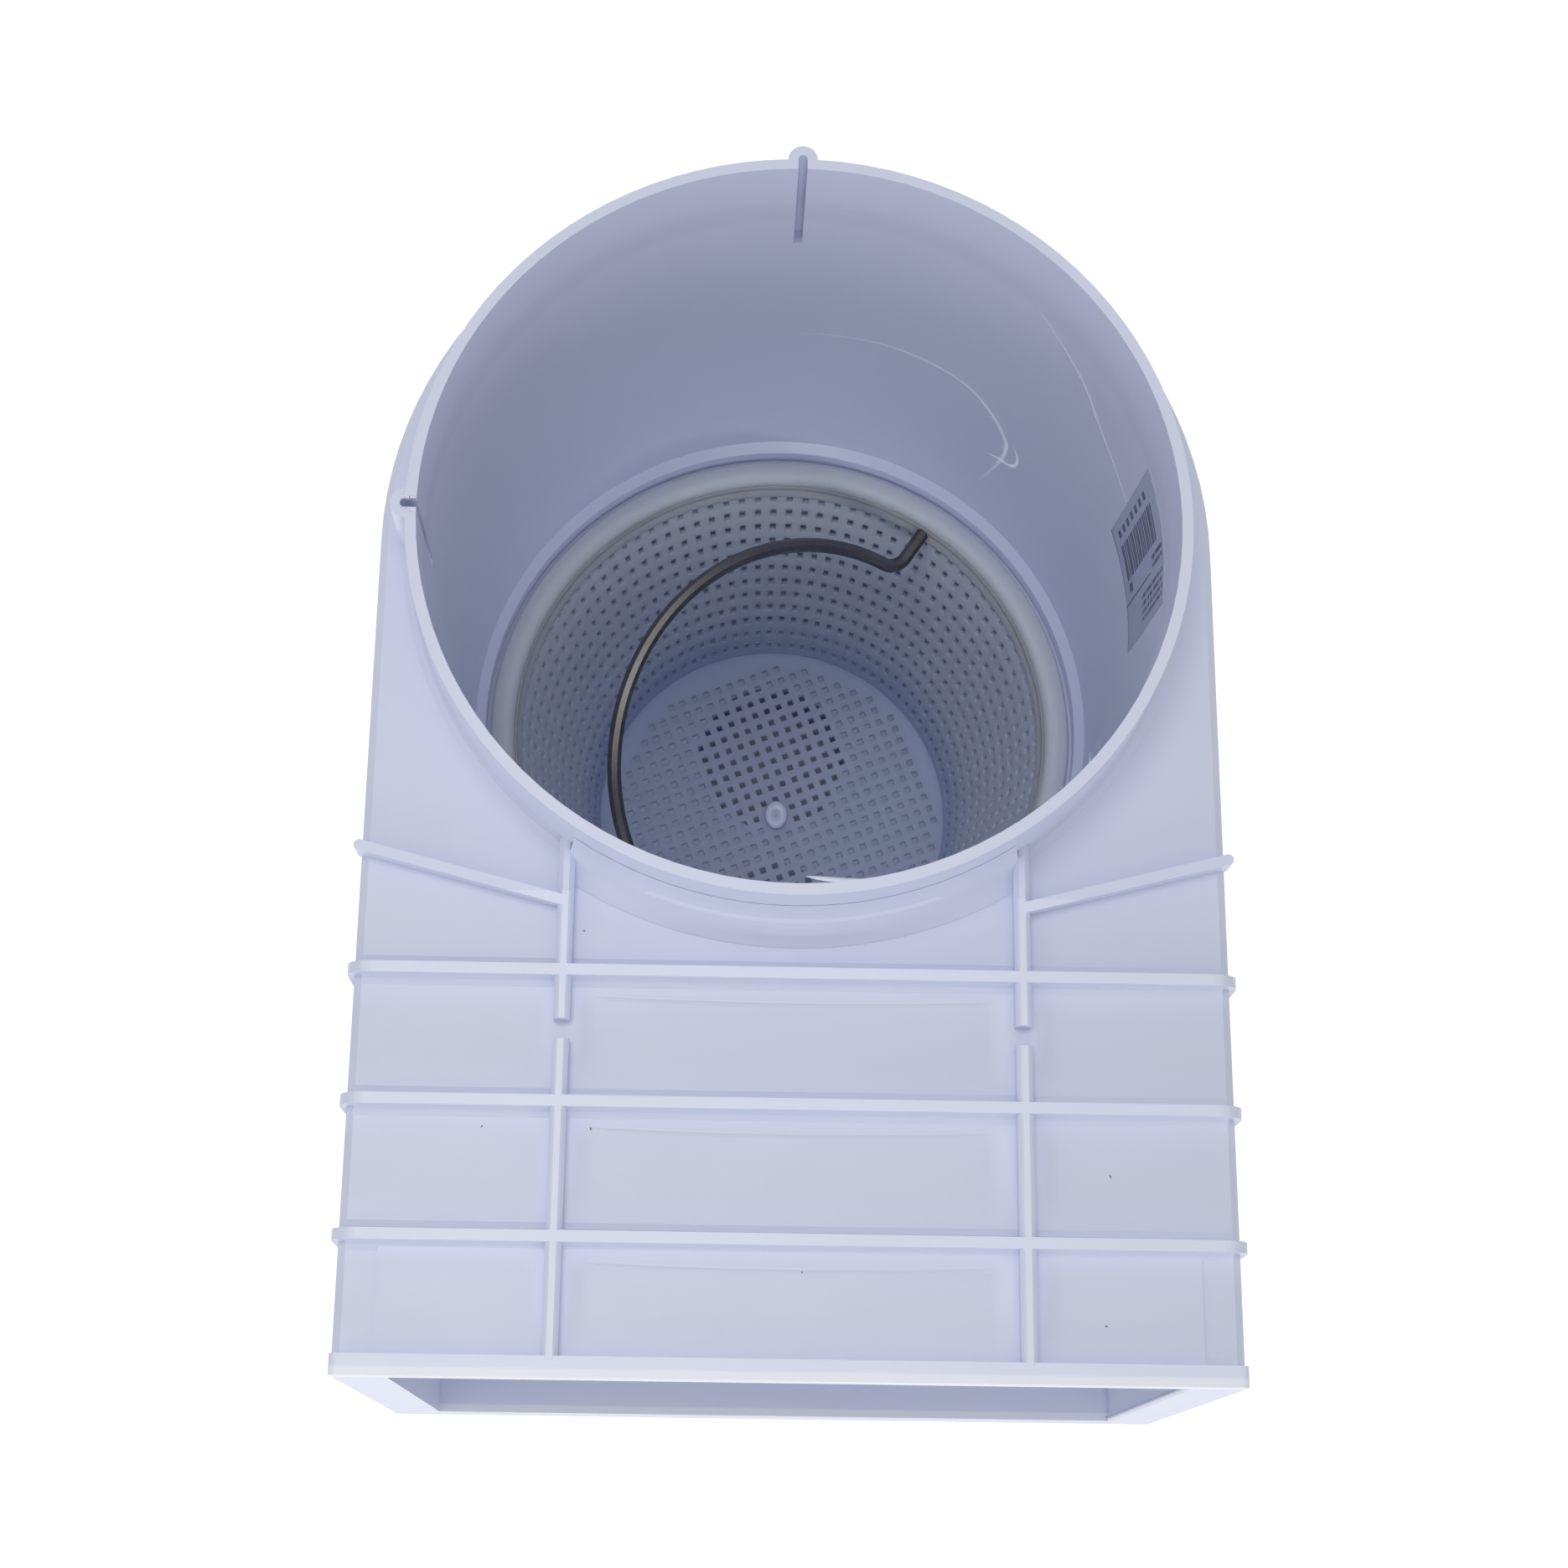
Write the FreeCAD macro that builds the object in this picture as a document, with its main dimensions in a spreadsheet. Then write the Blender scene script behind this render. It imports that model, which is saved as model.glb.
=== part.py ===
import FreeCAD, Part
import Sketcher
import math
import os

# In-ground pool skimmer: a one-piece moulded body with a round neck, a ribbed throat
# and a framed mouth, a lift-out basket with a wire bail, a floating weir flap and a
# plugged spare port. Origin: centre of the neck's rim. +Z up, the mouth faces -Y.

os.makedirs("parts", exist_ok=True)
doc = FreeCAD.newDocument("PoolSkimmer")
sheet = doc.addObject("Spreadsheet::Sheet", "Sizes")

dimensions = [
    ("neckRadius", 102.0, "inside radius of the neck"),
    ("neckWall", 3.0, "wall of the neck"),
    ("neckDraft", 1.0, "radius lost from the throat ceiling down to the ledge"),
    ("ledgeStep", 18.3, "throat floor down to the ledge above the basket"),
    ("slotWidth", 2.5, "key slot in the neck's wall"),
    ("slotDepth", 45.0, "key slot down from the rim"),
    ("slotReach", 4.4, "key slot outwards from the neck's inside"),
    ("slotBulge", 4.1, "radius of the bulge behind a key slot"),
    ("slotFoot", 3.0, "bulge below the foot of its key slot"),
    ("plateDrop", 25.4, "rim down to the top plate"),
    ("plateThick", 3.5, "top and bottom plates"),
    ("plateHalfWidth", 114.3, "half width of the top and bottom plates"),
    ("plateEdge", 2.2, "eased edge of the top plate"),
    ("neckFillet", 3.0, "fillet where the neck meets the top plate"),
    ("throatHalfWidth", 100.2, "half width inside the throat"),
    ("throatHeight", 142.8, "height inside the throat"),
    ("throatWall", 3.5, "side walls of the throat"),
    ("mouthReach", 223.2, "neck axis to the front of the mouth flange"),
    ("flangeThick", 5.3, "mouth flange"),
    ("flangeCorner", 2.0, "rounded corners of the mouth flange"),
    ("flangeHalfWidth", 114.3, "half width of the mouth flange"),
    ("flangeTopBar", 8.3, "mouth flange above the opening"),
    ("flangeBottomBar", 16.3, "mouth flange below the opening"),
    ("ribHeight", 5.0, "ribs above the plate"),
    ("ribThick", 2.9, "crest of a cross rib"),
    ("ribFlare", 2.4, "fillet at the foot of a rib"),
    ("ribCrown", 1.3, "eased edges along a long rib's crest"),
    ("filletBow", 0.3, "where the two flats of a small fillet meet, as a share of its size"),
    ("ribFirst", 120.7, "neck axis to the middle of the first cross rib"),
    ("ribPitch", 34.0, "cross rib spacing"),
    ("ribProud", 1.7, "cross ribs beyond the plates' edges"),
    ("longRibPlace", 59.7, "middle of a long rib from the centre line"),
    ("longRibThick", 4.2, "long rib"),
    ("notchPlace", 136.1, "neck axis to the middle of the gap in a long rib"),
    ("notchLength", 5.2, "gap in a long rib"),
    ("slantInner", 102.5, "neck axis to a slanted rib's inner end"),
    ("slantOuter", 88.5, "neck axis to a slanted rib's outer end"),
    ("stepPlace", 104.0, "step line on the front panel from the centre line"),
    ("stepHeight", 0.5, "step line above the plate"),
    ("pocketClear", 1.4, "basket lip to the seat's side"),
    ("seatDrop", 10.0, "ledge down to the basket seat"),
    ("seatChamfer", 3.0, "lead-in at the top of the seat's side"),
    ("seatWidth", 6.0, "basket seat"),
    ("vesselDraft", 4.5, "radius lost from the seat to the vessel's floor"),
    ("vesselWall", 3.5, "wall of the vessel below the seat"),
    ("sumpHeight", 23.0, "basket's floor down to the vessel's floor"),
    ("floorThick", 4.0, "vessel's floor"),
    ("skirtHeight", 31.0, "vessel's floor down to the base"),
    ("skirtWall", 3.2, "skirt under the vessel"),
    ("webThick", 3.0, "webs under the vessel's floor"),
    ("webGap", 4.0, "webs short of the base"),
    ("suctionRadius", 28.35, "bore of the 2 inch suction port"),
    ("suctionPlace", 30.0, "suction port behind the neck axis"),
    ("spareRadius", 22.4, "bore of the 1.5 inch spare port"),
    ("sparePlace", 40.0, "spare port in front of the neck axis"),
    ("portWall", 7.0, "wall round a port"),
    ("weirPivotPlace", 203.0, "neck axis to the weir's hinge line"),
    ("weirPivotHeight", 6.0, "throat floor up to the weir's hinge line"),
    ("weirPinRadius", 3.0, "trunnion of the weir flap"),
    ("weirPinClear", 0.1, "trunnion to its socket"),
    ("weirSocketDepth", 2.2, "socket in the throat's side wall"),
    ("weirBossRadius", 7.0, "boss behind a socket"),
    ("weirBossThick", 3.0, "boss behind a socket"),
    ("weirLength", 112.0, "weir flap from its hinge line to its tip"),
    ("weirSideClear", 2.6, "weir flap to the throat's side wall"),
    ("weirSkin", 2.4, "weir flap's plate"),
    ("weirRim", 2.6, "weir flap's rim"),
    ("weirRimHeight", 8.0, "weir flap's rim, over all"),
    ("weirBarrel", 5.4, "radius of the barrel round the weir's hinge line"),
    ("weirFloorClear", 0.3, "weir flap above the throat's floor at rest"),
    ("stopThick", 2.0, "weir stop along the throat's side wall"),
    ("stopReach", 5.0, "weir stop in from the side wall"),
    ("stopClear", 1.0, "weir stop to the upright flap"),
    ("stopLift", 20.0, "throat floor up to the foot of a weir stop"),
    ("stopHeight", 95.0, "weir stop"),
    ("floatThick", 5.2, "foam float in the weir flap"),
    ("floatLength", 56.0, "foam float along the flap"),
    ("floatClear", 0.4, "foam float to the flap's rim"),
    ("basketPass", 4.4, "basket's lip to the foot of the neck"),
    ("basketLip", 5.6, "width of the basket's lip"),
    ("basketLipThick", 3.0, "basket's lip"),
    ("basketHeight", 112.0, "lip's top to the underside of the basket's floor"),
    ("basketWall", 2.2, "basket's wall and floor"),
    ("basketShoulder", 0.5, "basket's wall in from the lip's inner edge"),
    ("basketFloorRadius", 66.0, "outside of the basket's floor"),
    ("basketBand", 11.0, "lip's top down to the first row of openings"),
    ("meshColumns", 24, "openings round the basket"),
    ("meshRows", 4, "rows of openings up the basket"),
    ("meshShare", 0.55, "opening's share of a column"),
    ("meshOpenHeight", 18.6, "opening in the basket's wall"),
    ("meshRowPitch", 23.8, "rows down the basket"),
    ("floorMesh", 9.4, "square opening in the basket's floor"),
    ("floorPitch", 15.0, "openings across the basket's floor"),
    ("floorMargin", 4.0, "openings clear of the floor's edge"),
    ("floorTurn", 24.0, "turn of the floor's grid, degrees"),
    ("gateRadius", 4.6, "moulding gate on the basket's floor"),
    ("gateHeight", 1.2, "moulding gate above the floor"),
    ("wireRadius", 2.4, "wire of the bail"),
    ("wireSides", 8, "flats round the wire's section"),
    ("wireClear", 0.1, "wire to its hole in the basket"),
    ("wireReach", 0.8, "end of the wire beyond the basket's wall"),
    ("bailDrop", 6.0, "lip's top down to the bail's axis"),
    ("bailTurn", 56.4, "bail's axis from +X, degrees"),
    ("bailLean", 34.0, "bail above the lip's plane, degrees"),
    ("bailArch", 72.6, "radius of the bail's arch"),
    ("bailRise", 58.3, "bail's arch above its axis"),
    ("bailBend", 7.0, "bend at the bail's corner"),
    ("plugHeadRadius", 27.0, "head of the spare port's plug"),
    ("plugHeadThick", 4.5, "head of the plug"),
    ("plugLength", 20.0, "plug's shank"),
    ("plugClear", 0.2, "plug's shank to the port"),
    ("plugHollow", 17.5, "hollow in the plug's shank"),
    ("plugHollowDepth", 12.0, "hollow in the plug's shank"),
    ("plugKey", 16.0, "square socket in the plug's head"),
    ("plugKeyDepth", 7.0, "square socket in the plug's head"),
    ("plugChamfer", 1.0, "edge of the plug's head"),
    ("ringWidth", 3.2, "section of the plug's sealing ring"),
    ("ringThick", 3.0, "section of the plug's sealing ring"),
    ("ringClear", 0.1, "sealing ring to the plug's shank"),
    ("overlap", 1.0, "how far joined features run into each other"),
]
for row, (alias, value, note) in enumerate(dimensions, 1):
    sheet.set("A%d" % row, note)
    sheet.set("B%d" % row, str(value))
    sheet.setAlias("B%d" % row, alias)
doc.recompute()


class Size:
    """A length together with the formula that ties it to the sheet."""

    def __init__(self, value, formula):
        self.value = float(value)
        self.formula = formula

    def joined(self, sign, value, other):
        return Size(value, "(%s %s %s)" % (self.formula, sign, asSize(other).formula))

    def __add__(self, other):
        return self.joined("+", self.value + asSize(other).value, other)

    def __sub__(self, other):
        return self.joined("-", self.value - asSize(other).value, other)

    def __mul__(self, other):
        return self.joined("*", self.value * asSize(other).value, other)

    def __truediv__(self, other):
        return self.joined("/", self.value / asSize(other).value, other)

    def __neg__(self):
        return Size(-self.value, "(0 - %s)" % self.formula)


def asSize(number):
    if isinstance(number, Size):
        return number
    return Size(number, repr(float(number)))


def root(size):
    return Size(math.sqrt(size.value), "sqrt(%s)" % size.formula)


def named(alias):
    return Size(getattr(sheet, alias), "Sizes." + alias)


dim = {alias: named(alias) for alias, value, note in dimensions}

# Places that several pieces share
zero = asSize(0)
neckOuter = dim["neckRadius"] + dim["neckWall"]
plateTop = -dim["plateDrop"]
ceiling = plateTop - dim["plateThick"]
throatFloor = ceiling - dim["throatHeight"]
bottomPlate = throatFloor - dim["plateThick"]
ledge = throatFloor - dim["ledgeStep"]
seat = ledge - dim["seatDrop"]
lipTop = seat + dim["basketLipThick"]
basketRadius = dim["neckRadius"] - dim["neckDraft"] - dim["basketPass"]
basketFloor = lipTop - dim["basketHeight"]
seatRadius = basketRadius + dim["pocketClear"]
vesselRadius = seatRadius - dim["seatWidth"]
vesselFloor = basketFloor - dim["sumpHeight"]
vesselFoot = vesselRadius - dim["vesselDraft"]
base = vesselFloor - dim["skirtHeight"]
throatOuter = dim["throatHalfWidth"] + dim["throatWall"]
ribCrest = plateTop + dim["ribHeight"]
underCrest = bottomPlate - dim["ribHeight"]
flangeBack = dim["mouthReach"] - dim["flangeThick"]
weirAxis = throatFloor + dim["weirPivotHeight"]
weirHalfWidth = dim["throatHalfWidth"] - dim["weirSideClear"]
weirUnder = throatFloor + dim["weirFloorClear"]
weirDeck = weirUnder + dim["weirSkin"]
weirTip = dim["weirPivotPlace"] - dim["weirLength"]
floatEnd = weirTip + dim["weirRim"] + dim["floatClear"]
lipInner = basketRadius - dim["basketLip"]
wallTop = lipInner - dim["basketShoulder"]
bailAxis = lipTop - dim["bailDrop"]
overlap = dim["overlap"]


def newBody(label):
    body = doc.addObject("PartDesign::Body", label)
    body.Label = label
    return body


def planeOf(body, role):
    for feature in body.Origin.OriginFeatures:
        if feature.Role == role:
            return feature
    raise ValueError(role)


def newSketch(body, name, role, offset=None, turn=0.0):
    sketch = body.newObject("Sketcher::SketchObject", name)
    sketch.AttachmentSupport = [(planeOf(body, role), "")]
    sketch.MapMode = "FlatFace"
    spin = FreeCAD.Rotation(FreeCAD.Vector(0, 0, 1), turn)
    sketch.AttachmentOffset = FreeCAD.Placement(FreeCAD.Vector(0, 0, 0), spin)
    if offset is not None:
        sketch.setExpression("AttachmentOffset.Base.z", offset.formula)
    return sketch


def fixPoint(sketch, piece, end, x, y):
    for kind, size in (("DistanceX", x), ("DistanceY", y)):
        number = sketch.addConstraint(Sketcher.Constraint(kind, -1, 1, piece, end, size.value))
        sketch.setExpression("Constraints[%d]" % number, size.formula)


def fixCentre(sketch, piece, start, stop):
    """A half circle is held by its centre, half way between its ends."""
    flat = abs(stop[0].value - start[0].value) > abs(stop[1].value - start[1].value)
    kind, along = ("DistanceY", 1) if flat else ("DistanceX", 0)
    size = (start[along] + stop[along]) / 2
    number = sketch.addConstraint(Sketcher.Constraint(kind, -1, 1, piece, 3, size.value))
    sketch.setExpression("Constraints[%d]" % number, size.formula)


def drawOutline(sketch, corners, closed=True):
    """Join a run of corners. A corner may carry an arc to the next one: its radius,
    positive where the arc bulges to the left of the way it is drawn."""
    corners = [tuple(asSize(part) for part in corner) for corner in corners]
    pairs = list(zip(corners, corners[1:]))
    if closed:
        pairs.append((corners[-1], corners[0]))
    for corner, following in pairs:
        start = FreeCAD.Vector(corner[0].value, corner[1].value, 0)
        stop = FreeCAD.Vector(following[0].value, following[1].value, 0)
        if len(corner) == 2:
            piece = sketch.addGeometry(Part.LineSegment(start, stop), False)
            fixPoint(sketch, piece, 1, corner[0], corner[1])
            fixPoint(sketch, piece, 2, following[0], following[1])
            continue
        radius = corner[2]
        chord = stop - start
        left = FreeCAD.Vector(-chord.y, chord.x, 0).normalize()
        side = 1 if radius.value > 0 else -1
        depth = math.sqrt(max(radius.value ** 2 - chord.Length ** 2 / 4, 0))
        middle = (start + stop) * 0.5
        centre = middle - left * (side * depth)
        top = centre + left * (side * abs(radius.value))
        arc = Part.Arc(start, top, stop)
        piece = sketch.addGeometry(arc, False)
        ends = (1, 2)
        if sketch.getPoint(piece, 1).distanceToPoint(start) > 1e-6:
            ends = (2, 1)
        fixPoint(sketch, piece, ends[0], corner[0], corner[1])
        fixPoint(sketch, piece, ends[1], following[0], following[1])
        if depth < 1e-3:
            fixCentre(sketch, piece, corner, following)
            continue
        size = radius if side > 0 else -radius
        number = sketch.addConstraint(Sketcher.Constraint("Radius", piece, size.value))
        sketch.setExpression("Constraints[%d]" % number, size.formula)


def drawBox(sketch, left, right, low, high):
    drawOutline(sketch, [(left, low), (right, low), (right, high), (left, high)])


def drawCircle(sketch, x, y, radius):
    x, y = asSize(x), asSize(y)
    middle = FreeCAD.Vector(x.value, y.value, 0)
    circle = Part.Circle(middle, FreeCAD.Vector(0, 0, 1), radius.value)
    piece = sketch.addGeometry(circle, False)
    fixPoint(sketch, piece, 3, x, y)
    number = sketch.addConstraint(Sketcher.Constraint("Radius", piece, radius.value))
    sketch.setExpression("Constraints[%d]" % number, radius.formula)


def drawRound(sketch, radius, sides):
    """A circle as a run of flats, which keeps a swept wire light."""
    corners = []
    for side in range(sides):
        angle = 2 * math.pi * side / sides
        corners.append((radius * math.cos(angle), radius * math.sin(angle)))
    drawOutline(sketch, corners)


def addPad(body, sketch, length, name, back=False, middle=False):
    pad = body.newObject("PartDesign::Pad", name)
    pad.Profile = sketch
    pad.Reversed = back
    pad.Midplane = middle
    pad.setExpression("Length", length.formula)
    pad.Refine = False
    return pad


def cutPocket(body, sketch, length, name, back=False, middle=False):
    pocket = body.newObject("PartDesign::Pocket", name)
    pocket.Profile = sketch
    pocket.Reversed = back
    pocket.Midplane = middle
    pocket.setExpression("Length", length.formula)
    pocket.Refine = False
    return pocket


def turnProfile(body, sketch, name, cut=False):
    kind = "PartDesign::Groove" if cut else "PartDesign::Revolution"
    turned = body.newObject(kind, name)
    turned.Profile = sketch
    turned.ReferenceAxis = (sketch, ["V_Axis"])
    turned.Angle = 360
    turned.Refine = False
    return turned


def axisOf(body, role):
    return (planeOf(body, role), [""])


def mirrorOf(body, features, role, name):
    mirror = body.newObject("PartDesign::Mirrored", name)
    mirror.Originals = features
    mirror.MirrorPlane = axisOf(body, role)
    mirror.Refine = False
    body.Tip = mirror
    return mirror


def tombstone(sketch, front):
    half = dim["plateHalfWidth"]
    drawOutline(sketch, [(-half, -front), (half, -front), (half, zero, -half), (-half, zero)])


def plates(body):
    """The top plate with its eased edge, and its twin under the throat."""
    top = newSketch(body, "topPlatePlan", "XY_Plane", ceiling)
    tombstone(top, flangeBack + overlap)
    plate = addPad(body, top, dim["plateThick"], "topPlate")
    doc.recompute()
    edges = []
    for number, edge in enumerate(plate.Shape.Edges, 1):
        if abs(edge.BoundBox.ZMin - plateTop.value) > 1e-4:
            continue
        if edge.BoundBox.XLength < 1e-4 or edge.BoundBox.YMax > overlap.value:
            edges.append("Edge%d" % number)
    eased = body.newObject("PartDesign::Chamfer", "topPlateEdge")
    eased.Base = (plate, edges)
    eased.setExpression("Size", dim["plateEdge"].formula)
    eased.Refine = False
    doc.recompute()
    bottom = newSketch(body, "bottomPlatePlan", "XY_Plane", bottomPlate)
    tombstone(bottom, flangeBack + overlap)
    addPad(body, bottom, dim["plateThick"], "bottomPlate")


def outerShell(body):
    """Neck and vessel as one turned outline, then the straight throat and its flange."""
    lowOuter = neckOuter - dim["neckDraft"]
    seatOuter = seatRadius + dim["vesselWall"]
    vesselOuter = vesselRadius + dim["vesselWall"]
    footOuter = vesselFoot + dim["vesselWall"]
    fillet = dim["neckFillet"]
    profile = newSketch(body, "shellProfile", "XZ_Plane")
    drawOutline(profile, [
        (zero, zero),
        (neckOuter, zero),
        (neckOuter, plateTop + fillet),
        (neckOuter + fillet * dim["filletBow"], plateTop + fillet * dim["filletBow"]),
        (neckOuter + fillet, plateTop),
        (neckOuter + fillet, ceiling),
        (neckOuter, ceiling),
        (lowOuter, ledge),
        (seatOuter, seat),
        (seatOuter, seat - dim["vesselWall"]),
        (vesselOuter, seat - dim["vesselWall"] * 2),
        (footOuter, vesselFloor - dim["floorThick"]),
        (zero, vesselFloor - dim["floorThick"]),
    ])
    turnProfile(body, profile, "shell")
    duct = newSketch(body, "throatSection", "XZ_Plane")
    drawBox(duct, -throatOuter, throatOuter, bottomPlate, ceiling)
    addPad(body, duct, flangeBack + overlap, "throat")
    flange = newSketch(body, "flangeSection", "XZ_Plane", flangeBack)
    half = dim["flangeHalfWidth"]
    low = throatFloor - dim["flangeBottomBar"]
    high = ceiling + dim["flangeTopBar"]
    corner = dim["flangeCorner"]
    drawOutline(flange, [
        (-half + corner, low), (half - corner, low, -corner),
        (half, low + corner), (half, high - corner, -corner),
        (half - corner, high), (-half + corner, high, -corner),
        (-half, high - corner), (-half, low + corner, -corner),
    ])
    addPad(body, flange, dim["flangeThick"], "mouthFlange")


def ribOutline(sketch, middle, half, foot, crest, flare):
    """A rib's cross-section: a crest of 2 x half, flared into the plate that it stands on."""
    bend = flare if crest.value > foot.value else -flare
    bow = dim["filletBow"]
    drawOutline(sketch, [
        (middle - half - flare, foot),
        (middle - half - flare * bow, foot + bend * bow),
        (middle - half, foot + bend),
        (middle - half, crest),
        (middle + half, crest),
        (middle + half, foot + bend),
        (middle + half + flare * bow, foot + bend * bow),
        (middle + half + flare, foot),
        (middle + half + flare, foot - bend),
        (middle - half - flare, foot - bend),
    ])


def crossRibs(body):
    """Three frames round the throat, each with a flared foot on the plates."""
    half = dim["ribThick"] / 2
    reach = dim["plateHalfWidth"] + dim["ribProud"]
    round_ = dim["ribHeight"] + dim["ribProud"]
    frame = newSketch(body, "ribFrame", "XZ_Plane", dim["ribFirst"])
    drawOutline(frame, [
        (-reach + round_, underCrest), (reach - round_, underCrest, -round_),
        (reach, underCrest + round_), (reach, ribCrest - round_, -round_),
        (reach - round_, ribCrest), (-reach + round_, ribCrest, -round_),
        (-reach, ribCrest - round_), (-reach, underCrest + round_, -round_),
    ])
    ring = addPad(body, frame, dim["ribThick"], "ribRing", middle=True)
    length = (dim["plateHalfWidth"] - dim["plateEdge"]) * 2
    upper = newSketch(body, "ribFootTopProfile", "YZ_Plane")
    ribOutline(upper, -dim["ribFirst"], half, plateTop, ribCrest - overlap, dim["ribFlare"])
    footTop = addPad(body, upper, length, "ribFootTop", middle=True)
    lower = newSketch(body, "ribFootLowProfile", "YZ_Plane")
    ribOutline(lower, -dim["ribFirst"], half, bottomPlate, underCrest + overlap, dim["ribFlare"])
    footLow = addPad(body, lower, length, "ribFootLow", middle=True)
    pattern = body.newObject("PartDesign::LinearPattern", "ribRow")
    pattern.Originals = [ring, footTop, footLow]
    pattern.Direction = axisOf(body, "Y_Axis")
    pattern.Reversed = True
    pattern.setExpression("Length", (dim["ribPitch"] * 2).formula)
    pattern.Occurrences = 3
    pattern.Refine = False
    body.Tip = pattern


def longRibs(body):
    """A pair of ribs with eased crests from the neck to the flange, above and below."""
    half = dim["longRibThick"] / 2
    place = dim["longRibPlace"]
    for name, foot, crest in (("Top", plateTop, ribCrest), ("Low", bottomPlate, underCrest)):
        up = crest.value > foot.value
        ease = dim["ribCrown"]
        shoulder = crest - ease if up else crest + ease
        sunk = foot - overlap if up else foot + overlap
        start = root(neckOuter * neckOuter - place * place) - overlap
        profile = newSketch(body, "longRib%sProfile" % name, "XZ_Plane", start)
        drawOutline(profile, [
            (place - half, sunk), (place - half, shoulder), (place - half + ease, crest),
            (place + half - ease, crest), (place + half, shoulder), (place + half, sunk),
        ])
        rib = addPad(body, profile, flangeBack - start + overlap, "longRib" + name)
        mirrorOf(body, [rib], "YZ_Plane", "longRib%sPair" % name)
    gap = newSketch(body, "ribNotchSection", "XZ_Plane", dim["notchPlace"])
    drawBox(gap, place - half - overlap, place + half + overlap, plateTop, ribCrest + overlap)
    notch = cutPocket(body, gap, dim["notchLength"], "ribNotch", middle=True)
    mirrorOf(body, [notch], "YZ_Plane", "ribNotchPair")


def slantRibs(body):
    """A slanted rib each side, from a long rib out to the plate's edge."""
    half = dim["ribThick"] / 2
    place = dim["longRibPlace"]
    reach = dim["plateHalfWidth"]
    plan = newSketch(body, "slantRibPlan", "XY_Plane", ceiling + overlap)
    drawOutline(plan, [
        (place, -dim["slantInner"] - half), (reach, -dim["slantOuter"] - half, -half),
        (reach, -dim["slantOuter"] + half), (place, -dim["slantInner"] + half),
    ])
    rib = addPad(body, plan, ribCrest - ceiling - overlap, "slantRib")
    mirrorOf(body, [rib], "YZ_Plane", "slantRibPair")


def stepLines(body):
    """The front panel stands a little proud between its two step lines."""
    last = dim["ribFirst"] + dim["ribPitch"] * 2
    panel = newSketch(body, "stepPanelPlan", "XY_Plane", plateTop - overlap)
    drawBox(panel, -dim["stepPlace"], dim["stepPlace"], -flangeBack - overlap, -last)
    addPad(body, panel, dim["stepHeight"] + overlap, "stepPanel")


def keyBulges(body):
    """The outward bulges behind the two key slots, at the back and on the left."""
    for name, x, y in (("Rear", zero, neckOuter), ("Left", -neckOuter, zero)):
        length = dim["slotDepth"] + dim["slotFoot"]
        plan = newSketch(body, "keyBulge%sPlan" % name, "XY_Plane", -length)
        drawCircle(plan, x, y, dim["slotBulge"])
        addPad(body, plan, length, "keyBulge" + name)


def underside(body):
    """Port bosses inside a skirt that the body stands on, braced by webs."""
    floorUnder = vesselFloor - dim["floorThick"]
    skirtOuter = vesselFoot + dim["vesselWall"]
    skirt = newSketch(body, "skirtProfile", "XZ_Plane")
    drawBox(skirt, skirtOuter - dim["skirtWall"], skirtOuter, base, floorUnder + overlap)
    turnProfile(body, skirt, "skirt")
    bosses = newSketch(body, "portBossPlan", "XY_Plane", base)
    drawCircle(bosses, zero, dim["suctionPlace"], dim["suctionRadius"] + dim["portWall"])
    addPad(body, bosses, floorUnder - base + overlap, "suctionBoss")
    spare = newSketch(body, "spareBossPlan", "XY_Plane", base + dim["webGap"])
    drawCircle(spare, zero, -dim["sparePlace"], dim["spareRadius"] + dim["portWall"])
    addPad(body, spare, floorUnder - base - dim["webGap"] + overlap, "spareBoss")
    webs = newSketch(body, "webPlan", "XY_Plane", base + dim["webGap"])
    half = dim["webThick"] / 2
    drawBox(webs, overlap - skirtOuter, skirtOuter - overlap, -half, half)
    addPad(body, webs, floorUnder - base - dim["webGap"] + overlap, "crossWeb")


def weirMounts(body):
    """Bosses outside the throat's side walls, round the weir's hinge sockets."""
    boss = newSketch(body, "weirBossSection", "YZ_Plane", throatOuter - overlap)
    drawCircle(boss, -dim["weirPivotPlace"], weirAxis, dim["weirBossRadius"])
    pad = addPad(body, boss, dim["weirBossThick"] + overlap, "weirBoss")
    mirrorOf(body, [pad], "YZ_Plane", "weirBossPair")


def hollow(body):
    """The inside of the neck and vessel, the throat and the ports."""
    lowRadius = dim["neckRadius"] - dim["neckDraft"]
    profile = newSketch(body, "hollowProfile", "XZ_Plane")
    drawOutline(profile, [
        (zero, overlap),
        (dim["neckRadius"], overlap),
        (dim["neckRadius"], ceiling),
        (lowRadius, ledge),
        (seatRadius, ledge - dim["seatChamfer"]),
        (seatRadius, seat),
        (vesselRadius, seat),
        (vesselFoot, vesselFloor),
        (zero, vesselFloor),
    ])
    turnProfile(body, profile, "hollowNeck", cut=True)
    half = dim["throatHalfWidth"]
    duct = newSketch(body, "ductSection", "XZ_Plane")
    drawBox(duct, -half, half, throatFloor, ceiling)
    cutPocket(body, duct, dim["mouthReach"] + overlap, "duct", back=True)
    depth = vesselFloor - base + overlap * 2
    suction = newSketch(body, "suctionPlan", "XY_Plane", base - overlap)
    drawCircle(suction, zero, dim["suctionPlace"], dim["suctionRadius"])
    cutPocket(body, suction, depth, "suctionPort", back=True)
    spare = newSketch(body, "sparePlan", "XY_Plane", base - overlap)
    drawCircle(spare, zero, -dim["sparePlace"], dim["spareRadius"])
    cutPocket(body, spare, depth, "sparePort", back=True)


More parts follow.
